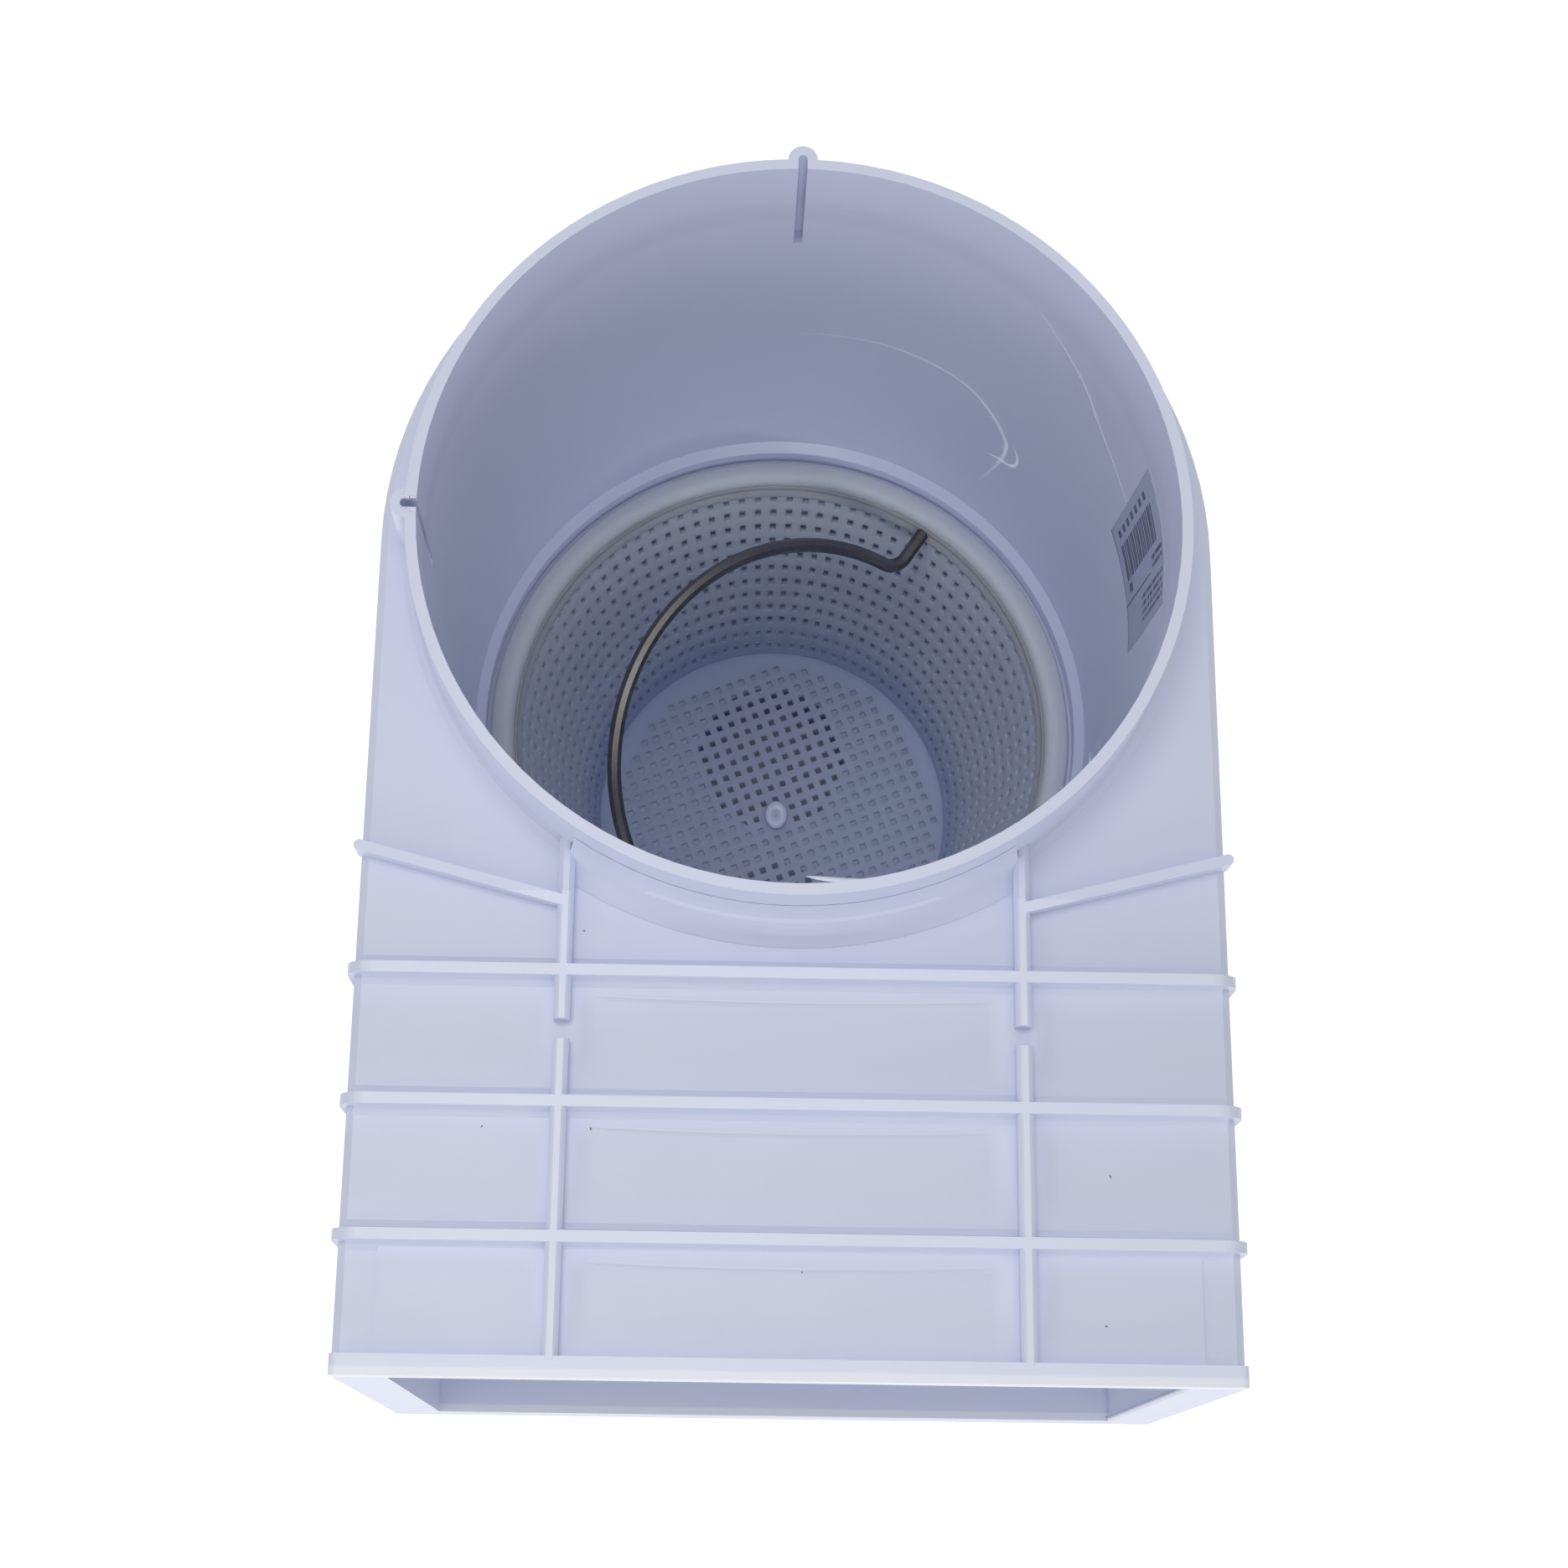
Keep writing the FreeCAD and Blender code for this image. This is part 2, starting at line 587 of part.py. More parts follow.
def keySlots(body):
    reach = dim["neckRadius"] + dim["slotReach"]
    half = dim["slotWidth"] / 2
    inside = dim["neckRadius"] - overlap
    rear = newSketch(body, "keySlotRearPlan", "XY_Plane", -dim["slotDepth"])
    drawOutline(rear, [
        (-half, inside), (half, inside), (half, reach - half, -half), (-half, reach - half),
    ])
    cutPocket(body, rear, dim["slotDepth"] + overlap, "keySlotRear", back=True)
    left = newSketch(body, "keySlotLeftPlan", "XY_Plane", -dim["slotDepth"])
    drawOutline(left, [
        (-inside, -half), (-inside, half), (-reach + half, half, -half), (-reach + half, -half),
    ])
    cutPocket(body, left, dim["slotDepth"] + overlap, "keySlotLeft", back=True)


def weirSockets(body):
    """Blind sockets for the flap's trunnions, and the stops that it comes up to."""
    inner = dim["throatHalfWidth"]
    hole = newSketch(body, "weirSocketSection", "YZ_Plane", inner - overlap)
    radius = dim["weirPinRadius"] + dim["weirPinClear"]
    drawCircle(hole, -dim["weirPivotPlace"], weirAxis, radius)
    socket = cutPocket(body, hole, dim["weirSocketDepth"] + overlap, "weirSocket", back=True)
    mirrorOf(body, [socket], "YZ_Plane", "weirSocketPair")
    upright = weirUnder + dim["weirRimHeight"] - weirAxis
    place = dim["weirPivotPlace"] + upright + dim["stopClear"]
    stop = newSketch(body, "weirStopSection", "XZ_Plane", place)
    low = throatFloor + dim["stopLift"]
    drawBox(stop, inner - dim["stopReach"], inner + overlap, low, low + dim["stopHeight"])
    pad = addPad(body, stop, dim["stopThick"], "weirStop")
    mirrorOf(body, [pad], "YZ_Plane", "weirStopPair")


def buildSkimmerBody():
    body = newBody("skimmer_body")
    plates(body)
    outerShell(body)
    weirMounts(body)
    keyBulges(body)
    underside(body)
    crossRibs(body)
    longRibs(body)
    slantRibs(body)
    stepLines(body)
    hollow(body)
    keySlots(body)
    weirSockets(body)
    body.Tip.Refine = True
    return body


def windowCutters():
    """Rows of tall windows with radial sides, round the basket's wall."""
    upright = FreeCAD.Vector(0, 0, 1)
    columns = int(dim["meshColumns"].value)
    step = 360 / columns
    inside = dim["basketFloorRadius"].value / 2
    height = dim["meshOpenHeight"].value
    cutters = []
    for row in range(int(dim["meshRows"].value)):
        high = lipTop - dim["basketBand"] - dim["meshRowPitch"] * row
        foot = FreeCAD.Vector(0, 0, high.value - height)
        spread = step * dim["meshShare"].value
        sector = Part.makeCylinder(basketRadius.value, height, foot, upright, spread)
        window = sector.cut(Part.makeCylinder(inside, height, foot))
        for column in range(columns):
            turned = window.copy()
            turned.rotate(FreeCAD.Vector(0, 0, 0), upright, step * column)
            cutters.append(turned)
    return cutters


def floorCutters():
    """A turned square grid of openings over the basket's floor, round the gate."""
    pitch = dim["floorPitch"].value
    size = dim["floorMesh"].value
    deep = (dim["basketWall"] + overlap * 2).value
    room = (dim["basketFloorRadius"] - dim["basketWall"] - dim["floorMargin"]).value
    reach = int(room / pitch)
    cutters = []
    for column in range(-reach, reach + 1):
        for row in range(-reach, reach + 1):
            across, along = pitch * column, pitch * row
            corner = math.hypot(abs(across) + size / 2, abs(along) + size / 2)
            if corner > room or math.hypot(across, along) < dim["gateRadius"].value:
                continue
            low = FreeCAD.Vector(across - size / 2, along - size / 2, (basketFloor - overlap).value)
            cutters.append(Part.makeBox(size, size, deep, low))
    grid = Part.makeCompound(cutters)
    grid.rotate(FreeCAD.Vector(0, 0, 0), FreeCAD.Vector(0, 0, 1), dim["floorTurn"].value)
    return grid.Solids


def bailHoleCutter():
    turn = math.radians(dim["bailTurn"].value)
    along = FreeCAD.Vector(math.cos(turn), math.sin(turn), 0)
    reach = basketRadius.value
    start = FreeCAD.Vector(0, 0, bailAxis.value) - along * reach
    radius = (dim["wireRadius"] + dim["wireClear"]).value
    return Part.makeCylinder(radius, reach * 2, start, along)


def buildBasket():
    body = newBody("basket_shell")
    wall = dim["basketWall"]
    foot = dim["basketFloorRadius"]
    profile = newSketch(body, "basketProfile", "XZ_Plane")
    drawOutline(profile, [
        (zero, basketFloor),
        (foot - wall, basketFloor),
        (foot, basketFloor + wall),
        (wallTop, seat),
        (basketRadius, seat),
        (basketRadius, lipTop),
        (lipInner, lipTop),
        (wallTop - wall, seat),
        (foot - wall, basketFloor + wall),
        (zero, basketFloor + wall),
    ])
    turnProfile(body, profile, "basketTurned")
    gate = newSketch(body, "gatePlan", "XY_Plane", basketFloor + wall / 2)
    drawCircle(gate, zero, zero, dim["gateRadius"])
    addPad(body, gate, wall / 2 + dim["gateHeight"], "gate")
    openings = doc.addObject("Part::Feature", "basket_openings")
    openings.Shape = Part.makeCompound(windowCutters() + floorCutters() + [bailHoleCutter()])
    basket = doc.addObject("Part::Cut", "basket")
    basket.Label = "basket"
    basket.Base = body
    basket.Tool = openings
    return basket


def buildBail():
    """A round wire swept along an arch with its two ends bent out, leaned on its axis."""
    body = newBody("basket_handle")
    arch, bend = dim["bailArch"], dim["bailBend"]
    sunk = arch - dim["bailRise"]
    tip = wallTop + dim["wireReach"]
    corner = root((arch + bend) * (arch + bend) - (bend + sunk) * (bend + sunk))
    share = arch / (arch + bend)
    foot = (bend + sunk) * share - sunk
    path = newSketch(body, "bailPath", "XY_Plane")
    drawOutline(path, [
        (-tip, zero),
        (-corner, zero, -bend),
        (-corner * share, foot, arch),
        (zero, dim["bailRise"], arch),
        (corner * share, foot, -bend),
        (corner, zero),
        (tip, zero),
    ], closed=False)
    section = newSketch(body, "wireSection", "YZ_Plane", -tip)
    drawRound(section, dim["wireRadius"], int(dim["wireSides"].value))
    wire = body.newObject("PartDesign::AdditivePipe", "wire")
    wire.Profile = section
    wire.Spine = (path, ["Edge%d" % edge for edge in range(1, 7)])
    turn = FreeCAD.Rotation(FreeCAD.Vector(0, 0, 1), dim["bailTurn"].value)
    lean = FreeCAD.Rotation(FreeCAD.Vector(1, 0, 0), dim["bailLean"].value)
    place = FreeCAD.Vector(0, 0, bailAxis.value)
    body.Placement = FreeCAD.Placement(place, turn * lean)
    return body


def buildWeirFlap():
    """A tray-shaped flap that lies inwards on the throat's floor when there is no water."""
    body = newBody("weir_flap")
    half = weirHalfWidth
    hinge = dim["weirPivotPlace"]
    rim = dim["weirRim"]
    deck = newSketch(body, "flapPlan", "XY_Plane", weirUnder)
    drawBox(deck, -half, half, -hinge, -weirTip)
    addPad(body, deck, dim["weirRimHeight"], "flapBlock")
    tray = newSketch(body, "trayPlan", "XY_Plane", weirDeck)
    divider = floatEnd + dim["floatLength"] + dim["floatClear"]
    drawBox(tray, rim - half, half - rim, -divider, -weirTip - rim)
    drawBox(tray, rim - half, half - rim, rim * 2 - hinge, -divider - rim)
    cutPocket(body, tray, dim["weirRimHeight"], "tray", back=True)
    barrel = newSketch(body, "barrelSection", "YZ_Plane", -half)
    drawCircle(barrel, -hinge, weirAxis, dim["weirBarrel"])
    addPad(body, barrel, half * 2, "barrel")
    pins = newSketch(body, "trunnionSection", "YZ_Plane")
    drawCircle(pins, -hinge, weirAxis, dim["weirPinRadius"])
    reach = dim["throatHalfWidth"] + dim["weirSocketDepth"] - dim["weirFloorClear"]
    addPad(body, pins, reach * 2, "trunnions", middle=True)
    return body


def buildWeirFloat():
    body = newBody("weir_float")
    half = weirHalfWidth - dim["weirRim"] - dim["floatClear"]
    plan = newSketch(body, "floatPlan", "XY_Plane", weirDeck)
    drawBox(plan, -half, half, -floatEnd - dim["floatLength"], -floatEnd)
    addPad(body, plan, dim["floatThick"], "float")
    return body


def buildPlug():
    body = newBody("port_plug")
    radius = dim["spareRadius"] - dim["plugClear"]
    under = vesselFloor + dim["ringThick"]
    top = under + dim["plugHeadThick"]
    low = under - dim["plugLength"]
    profile = newSketch(body, "plugProfile", "XZ_Plane")
    drawOutline(profile, [
        (zero, low + dim["plugHollowDepth"]),
        (dim["plugHollow"], low + dim["plugHollowDepth"]),
        (dim["plugHollow"], low),
        (radius, low),
        (radius, under),
        (dim["plugHeadRadius"], under),
        (dim["plugHeadRadius"], top - dim["plugChamfer"]),
        (dim["plugHeadRadius"] - dim["plugChamfer"], top),
        (zero, top),
    ])
    turnProfile(body, profile, "plug")
    key = newSketch(body, "keyPlan", "XY_Plane", top)
    half = dim["plugKey"] / 2
    drawBox(key, -half, half, -half, half)
    cutPocket(body, key, dim["plugKeyDepth"], "keySocket")
    body.setExpression("Placement.Base.y", (-dim["sparePlace"]).formula)
    return body


def buildPlugRing():
    """A square-section rubber ring round the plug's shank, under its head."""
    inner = dim["spareRadius"] - dim["plugClear"] + dim["ringClear"]
    parts = []
    for name, radius in (("ringOutside", inner + dim["ringWidth"]), ("ringInside", inner)):
        disc = doc.addObject("Part::Cylinder", name)
        disc.setExpression("Radius", radius.formula)
        disc.setExpression("Height", dim["ringThick"].formula)
        disc.setExpression("Placement.Base.y", (-dim["sparePlace"]).formula)
        disc.setExpression("Placement.Base.z", vesselFloor.formula)
        parts.append(disc)
    ring = doc.addObject("Part::Cut", "plug_seal")
    ring.Label = "plug_seal"
    ring.Base, ring.Tool = parts
    return ring


built = [
    buildSkimmerBody(),
    buildBasket(),
    buildBail(),
    buildWeirFlap(),
    buildWeirFloat(),
    buildPlug(),
    buildPlugRing(),
]
doc.recompute()

for thing in doc.Objects:
    if "Invalid" in thing.State or "Error" in thing.State:
        raise RuntimeError("%s: %s" % (thing.Name, thing.State))
for piece in built:
    if piece.Shape.isNull() or not piece.Shape.isValid():
        raise RuntimeError(piece.Label + " has no valid shape")
for piece in built:
    piece.Shape.exportStep("parts/%s.step" % piece.Label)
    print(piece.Label, len(piece.Shape.Solids), "solid", round(piece.Shape.Volume / 1000, 1), "cm3")
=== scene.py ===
import bpy
import math
import random
import bmesh
from mathutils import Matrix, Vector, geometry


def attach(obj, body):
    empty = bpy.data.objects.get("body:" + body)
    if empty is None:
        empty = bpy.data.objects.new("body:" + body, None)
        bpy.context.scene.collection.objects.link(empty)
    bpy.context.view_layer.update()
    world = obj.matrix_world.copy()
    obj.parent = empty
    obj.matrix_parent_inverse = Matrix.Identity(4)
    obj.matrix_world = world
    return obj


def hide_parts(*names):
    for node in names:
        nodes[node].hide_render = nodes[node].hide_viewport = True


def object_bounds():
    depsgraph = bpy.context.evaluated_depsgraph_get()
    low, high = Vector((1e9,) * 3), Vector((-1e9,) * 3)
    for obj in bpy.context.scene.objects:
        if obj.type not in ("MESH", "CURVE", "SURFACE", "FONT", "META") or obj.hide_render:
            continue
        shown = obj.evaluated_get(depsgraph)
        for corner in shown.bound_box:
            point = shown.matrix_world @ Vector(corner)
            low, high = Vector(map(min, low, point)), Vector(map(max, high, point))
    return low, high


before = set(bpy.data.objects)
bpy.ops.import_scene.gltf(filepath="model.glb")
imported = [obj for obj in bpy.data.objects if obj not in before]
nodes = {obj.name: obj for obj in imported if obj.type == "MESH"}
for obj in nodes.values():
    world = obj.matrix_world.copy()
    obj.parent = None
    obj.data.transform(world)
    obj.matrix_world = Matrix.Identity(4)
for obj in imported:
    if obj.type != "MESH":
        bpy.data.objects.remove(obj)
cadBox = [list(corner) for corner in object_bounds()]
mm = 0.001
print("frame loaded:", len(nodes), "nodes")


# wraps an output so that shader maths reads as plain expressions
class Sock:
    def __init__(self, tree, socket):
        self.tree = tree
        self.socket = socket

    def maths(self, operation, first, second=None):
        node = self.tree.nodes.new("ShaderNodeMath")
        node.operation = operation
        for place, value in enumerate((first, second)):
            if isinstance(value, Sock):
                self.tree.links.new(value.socket, node.inputs[place])
            elif value is not None:
                node.inputs[place].default_value = value
        return Sock(self.tree, node.outputs[0])

    def __add__(self, other):
        return self.maths("ADD", self, other)

    def __radd__(self, other):
        return self.maths("ADD", other, self)

    def __sub__(self, other):
        return self.maths("SUBTRACT", self, other)

    def __rsub__(self, other):
        return self.maths("SUBTRACT", other, self)

    def __mul__(self, other):
        return self.maths("MULTIPLY", self, other)

    def __rmul__(self, other):
        return self.maths("MULTIPLY", other, self)

    def __truediv__(self, other):
        return self.maths("DIVIDE", self, other)

    def __gt__(self, other):
        return self.maths("GREATER_THAN", self, other)

    def __lt__(self, other):
        return self.maths("LESS_THAN", self, other)

    def __abs__(self):
        return self.maths("ABSOLUTE", self)

    def floor(self):
        return self.maths("FLOOR", self)

    def fract(self):
        return self.maths("FRACT", self)

    def larger(self, other):
        return self.maths("MAXIMUM", self, other)

    def root(self):
        return self.maths("SQRT", self)


# one material and the nodes that it is made of
class Finish:
    def __init__(self, name, world=None):
        self.material = world or bpy.data.materials.new(name)
        self.material.use_nodes = True
        self.tree = self.material.node_tree
        self.shader = self.tree.nodes.get("Principled BSDF")
        self.output = self.tree.nodes["World Output" if world else "Material Output"]

    # 1 for the rays that show the background
    def seenRays(self):
        total = None
        for ray in ("Is Camera Ray", "Is Glossy Ray", "Is Transmission Ray"):
            path = self.node("LightPath", out=ray)
            total = path if total is None else total.larger(path)
        return total

    # one shader where the factor is 0 and the other where it is 1
    def mixShader(self, factor, first, second):
        return self.node("MixShader", None, {0: factor, 1: first, 2: second})

    def surface(self, shader):
        self.tree.links.new(shader.socket, self.output.inputs["Surface"])

    def node(self, kind, settings=None, sockets=None, out=0):
        made = self.tree.nodes.new("ShaderNode" + kind)
        for name, value in (settings or {}).items():
            setattr(made, name, value)
        for name, value in (sockets or {}).items():
            if isinstance(value, Sock):
                self.tree.links.new(value.socket, made.inputs[name])
            else:
                made.inputs[name].default_value = value
        return Sock(self.tree, made.outputs[out])

    def place(self):
        return self.node("TexCoord", out=3)

    def split(self, vector):
        made = self.tree.nodes.new("ShaderNodeSeparateXYZ")
        self.tree.links.new(vector.socket, made.inputs[0])
        return [Sock(self.tree, made.outputs[axis]) for axis in range(3)]

    def noise(self, scale, detail=3.0, rough=0.5, vector=None, out=0):
        vector = vector or self.place()
        sockets = {"Vector": vector, "Scale": scale, "Detail": detail, "Roughness": rough}
        return self.node("TexNoise", None, sockets, out=out)

    # 0 below low, 1 above high, eased between them
    def soft(self, value, low, high):
        sockets = {"Value": value, "From Min": low, "From Max": high}
        return self.node("MapRange", {"interpolation_type": "SMOOTHSTEP"}, sockets)

    # 1 at the middle, falling to 0 at the reach on both sides
    def near(self, value, middle, reach):
        return 1 - self.soft(abs(value - middle), reach * 0.3, reach)

    def mix(self, factor, first, second):
        made = self.tree.nodes.new("ShaderNodeMix")
        made.data_type = "RGBA"
        for place, value in ((0, factor), (6, first), (7, second)):
            if isinstance(value, Sock):
                self.tree.links.new(value.socket, made.inputs[place])
            elif place == 0:
                made.inputs[place].default_value = value
            else:
                made.inputs[place].default_value = (*value, 1)
        return Sock(self.tree, made.outputs[2])

    def feed(self, **links):
        for name, value in links.items():
            socket = self.shader.inputs[name.replace("_", " ")]
            if isinstance(value, Sock):
                self.tree.links.new(value.socket, socket)
            elif isinstance(value, tuple) and len(value) == 3 and len(socket.default_value) == 4:
                socket.default_value = (*value, 1)
            else:
                socket.default_value = value

    def bump(self, height, strength, distance):
        made = self.node("Bump", None, {"Height": height, "Strength": strength, "Distance": distance})
        self.feed(Normal=made)


# camera, as fitted to the photograph
view = {
    "place": (-20.9, -270.2, 676.45),
    "tilt": (18.733, -1.185, 0.728),
    "focus": 3262.7,
    "aim": (908.4, 780.0),
    "frameSize": 1871,
    "sensor": 36.0,
}


def addCamera():
    camera = bpy.data.cameras.new("photoCamera")
    size = view["frameSize"]
    camera.sensor_width = view["sensor"]
    camera.lens = view["focus"] / size * view["sensor"]
    camera.shift_x = (size / 2 - view["aim"][0]) / size
    camera.shift_y = (view["aim"][1] - size / 2) / size
    camera.clip_start = 0.01
    holder = bpy.data.objects.new("photoCamera", camera)
    holder.location = Vector(view["place"]) * mm
    holder.rotation_euler = [math.radians(angle) for angle in view["tilt"]]
    bpy.context.scene.collection.objects.link(holder)
    bpy.context.scene.camera = holder


white = (1, 1, 1, 1)

studio = {
    "worldLight": 0.50,
    "lamps": [
        # name, place, size, power
        ("overhead", (-0.25, 0.05, 1.9), 1.1, 9.3),
        ("fillLeft", (-1.5, -0.9, 0.9), 1.2, 2.2),
        ("fillFront", (0.1, -1.9, 0.38), 0.9, 8.5),
    ],
    "floorColour": (0.92, 0.92, 0.93),
    "floorLift": 0.45,
    "floorSize": 6.0,
    "portShade": 0.11,  # the floor seen through the port stays unlit within this radius
}


def addStudio():
    scene = bpy.context.scene
    scene.view_settings.view_transform = "Standard"
    world = bpy.data.worlds.new("paleRoom")
    scene.world = world
    room = Finish("paleRoom", world)
    seen = room.node("Background", None, {"Color": white, "Strength": 1.0})
    light = room.node("Background", None, {"Color": white, "Strength": studio["worldLight"]})
    room.surface(room.mixShader(room.seenRays(), light, seen))
    for name, place, size, power in studio["lamps"]:
        lamp = bpy.data.lights.new(name, "AREA")
        lamp.shape = "DISK"
        lamp.size = size
        lamp.energy = power
        holder = bpy.data.objects.new(name, lamp)
        holder.location = place
        aim = Vector((0, -0.05, -0.1)) - Vector(place)
        holder.rotation_euler = aim.to_track_quat("-Z", "Y").to_euler()
        scene.collection.objects.link(holder)


def addFloor():
    size = studio["floorSize"]
    low = cadBox[0][2]
    corners = [(-size, -size, low), (size, -size, low), (size, size, low), (-size, size, low)]
    mesh = bpy.data.meshes.new("studioFloor")
    mesh.from_pydata(corners, [], [(0, 1, 2, 3)])
    floor = bpy.data.objects.new("studioFloor", mesh)
    bpy.context.scene.collection.objects.link(floor)
    finish = Finish("paleFloor")
    tone = finish.noise(3.0, 2.0)
    colour = finish.mix(tone, (0.9, 0.9, 0.91), studio["floorColour"])
    finish.feed(Base_Color=colour, Roughness=0.8)
    glow = finish.node("Emission", None, {"Strength": studio["floorLift"]})
    dark = finish.node("Emission", None, {"Strength": 0.0})
    x, y = finish.split(finish.place())[:2]
    away = finish.soft((x * x + y * y).root(), studio["portShade"] * 0.9, studio["portShade"])
    lift = finish.mixShader(finish.seenRays() * away, dark, glow)
    finish.surface(finish.node("AddShader", None, {0: Sock(finish.tree, finish.shader.outputs[0]), 1: lift}))
    mesh.materials.append(finish.material)


# moulded shell: places in millimetres, as the solids have them
shellLook = {
    "pale": (0.68, 0.725, 0.885),
    "deep": (0.64, 0.685, 0.85),
    "crest": (0.76, 0.80, 0.93),
    "edge": (0.86, 0.88, 0.95),
    "grime": (0.36, 0.25, 0.25),
    "shade": (0.36, 0.38, 0.50),
    "lineShade": (0.36, 0.38, 0.52),
    "roughness": 0.32,
    "plateTop": -25.4,
    "firstRib": -120.7,
    "ribPitch": 34.0,
    "panelHalf": 57.0,
    "dishShade": 0.13,
    "dishDeep": 0.5,
    "mouthFront": -223.2,
    "mouthTop": -28.9,
    "mouthFoot": -171.7,
    "mouthSide": 100.2,
    "noseWide": 2.3,
    "lineFront": 6.2,
    "lineBow": 1.4,
    "neckShade": -90.0,
    "sumpFloor": -332.0,
    "sumpRadius": 84.0,
    "sumpGlow": (0.50, 0.56, 0.75),
    "sumpStrength": 0.16,
    "crestHigh": 5.0,
    "ribsFrom": -100.0,
    "slotSide": -103.5,
}


# how deep each panel between the ribs has sunk, 0 at the ribs and 1 at the lowest line
def panelDish(finish, x, y, z):
    look = shellLook
    along = (look["firstRib"] - y) / look["ribPitch"]
    share = along.fract()
    sunk = finish.soft(share, 0.06, 0.30) * (1 - finish.soft(share, 0.36, 0.95))
    inFront = finish.soft(along, -0.02, 0.0)
    beforeRib = finish.soft(y, look["firstRib"] + 16.0, look["firstRib"] + 2.0) * (y > look["firstRib"])
    onPlate = finish.near(z, look["plateTop"], 3.0)
    side = 1 - finish.near(abs(x), look["panelHalf"] + 2.7, 9.0) * 0.8
    return (sunk * inFront + beforeRib * 0.4) * side * onPlate


# the fine bowed line where each panel starts to sink, in front of its rib: painted shade along the line and
# a painted highlight on its rib side, which the bump follows a little
def sinkLine(finish, x, y, z):
    look = shellLook
    along = (look["firstRib"] - y) / look["ribPitch"]
    inFront = finish.soft(along, 0.05, 0.08) * finish.near(z, look["plateTop"], 3.0)
    reach = look["panelHalf"] + 2.0
    bow = 1 - (x / reach) * (x / reach)
    away = along.fract() * look["ribPitch"] - look["lineFront"] - bow * look["lineBow"]
    inner = finish.soft(look["panelHalf"] - 4.0 - abs(x), 0.0, 6.0)
    dark = finish.near(away, 0.0, 0.55)
    pale = finish.near(away, -0.7, 0.6)
    return (dark - pale * 0.8) * inFront * inner


# the rounded front edges of the flange, painted paler than the faces behind them: a painted highlight
def noseHighlight(finish, x, y, z):
    look = shellLook
    back = look["mouthFront"] + look["noseWide"]
    front = 1 - finish.soft(y, back - 0.5, back + 0.3)
    above = finish.soft(z, look["mouthTop"] - 0.3, look["mouthTop"] + 0.3)
    sill = finish.near(z, look["mouthFoot"], 1.4) * (abs(x) < look["mouthSide"] + 0.5)
    return front * above.larger(sill)


# brown dirt in the trimmed edges of the mouth and round the left key slot
def edgeGrime(finish, x, y, z):
    look = shellLook
    front = y < look["mouthFront"] + 1.3
    under = finish.near(z, look["mouthTop"], 0.8) * (abs(x) < look["mouthSide"]) * front
    side = finish.near(x, look["mouthSide"], 1.3) * front * (z > -172.5) * (z < -29.0)
    low = finish.near(z, -174.5, 2.2) * front * (finish.near(x, 20.0, 5.0) + finish.near(x, 31.0, 4.0))
    rough = finish.soft(finish.noise(900.0, 2.0), 0.46, 0.62)
    slot = finish.near(x, look["slotSide"], 4.0) * finish.near(y, 0.0, 4.5) * finish.near(z, 0.0, 8.0)
    slot = slot * finish.soft(finish.noise(1400.0, 1.0), 0.60, 0.68)
    return under * 0.6 + side * rough * 0.9 + low * rough * 0.35 + slot


def shellPlastic(name, look=shellLook, wearAndPaintedLight=True):
    finish = Finish(name)
    cloud = finish.noise(14.0, 4.0, 0.55)
    colour = finish.mix(cloud, look["deep"], look["pale"])
    smear = finish.noise(60.0, 5.0, 0.6)
    height = finish.noise(420.0, 2.0) * 0.02 + finish.noise(36.0, 3.0) * 0.05
    # painted shade, painted highlights and a painted glow, together with the brown dirt, only where this is
    # on
    if wearAndPaintedLight:
        x, y, z = [part * 1000 for part in finish.split(finish.place())]
        dish = panelDish(finish, x, y, z)
        colour = finish.mix(dish * look["dishShade"], colour, look["shade"])
        line = sinkLine(finish, x, y, z)
        colour = finish.mix(line.larger(0.0) * 0.09, colour, look["lineShade"])
        colour = finish.mix((0 - line).larger(0.0) * 0.25, colour, look["crest"])
        height = height + line * -0.05
        # painted shade: the top plate is painted darker from the flange back towards the neck
        away = finish.soft(y, -222.0, look["neckShade"]) * finish.near(z, look["plateTop"], 8.0)
        colour = finish.mix(away * 0.11, colour, look["lineShade"])
        # painted highlight along the tops of the ribs
        crest = finish.near(z, look["plateTop"] + look["crestHigh"], 0.9) * (y < look["ribsFrom"])
        colour = finish.mix(crest * 0.55, colour, look["crest"])
        colour = finish.mix(noseHighlight(finish, x, y, z) * 0.75, colour, look["edge"])
        colour = finish.mix(edgeGrime(finish, x, y, z), colour, look["grime"])
        height = height - dish * look["dishDeep"]
        # painted light: a faint glow on the sump floor stands in for light coming through the milky basket
        sump = finish.near(z, look["sumpFloor"], 1.6) * ((x * x + y * y).root() < look["sumpRadius"])
        glow = finish.mix(sump, (0, 0, 0), look["sumpGlow"])
        finish.feed(Emission_Color=glow, Emission_Strength=look["sumpStrength"])
    finish.feed(Base_Color=colour, Roughness=look["roughness"] - 0.05 + smear * 0.12, IOR=1.5)
    finish.bump(height, 1.0, mm)
    return finish.material


# drawn steel wire: fine scratches along it, a few duller patches
def wireSteel():
    finish = Finish("drawnSteel")
    grain = finish.noise(900.0, 4.0, 0.7)
    tone = finish.noise(45.0, 3.0)
    colour = finish.mix(tone, (0.10, 0.095, 0.095), (0.19, 0.183, 0.18))
    finish.feed(Base_Color=colour, Metallic=1.0, Roughness=0.22 + grain * 0.14)
    finish.bump(grain, 0.12, 0.0002)
    return finish.material


basketLook = {
    "pale": (0.66, 0.73, 0.93),
    "deep": (0.58, 0.65, 0.86),
    "low": (0.40, 0.46, 0.64),
    "floor": -0.306,
}


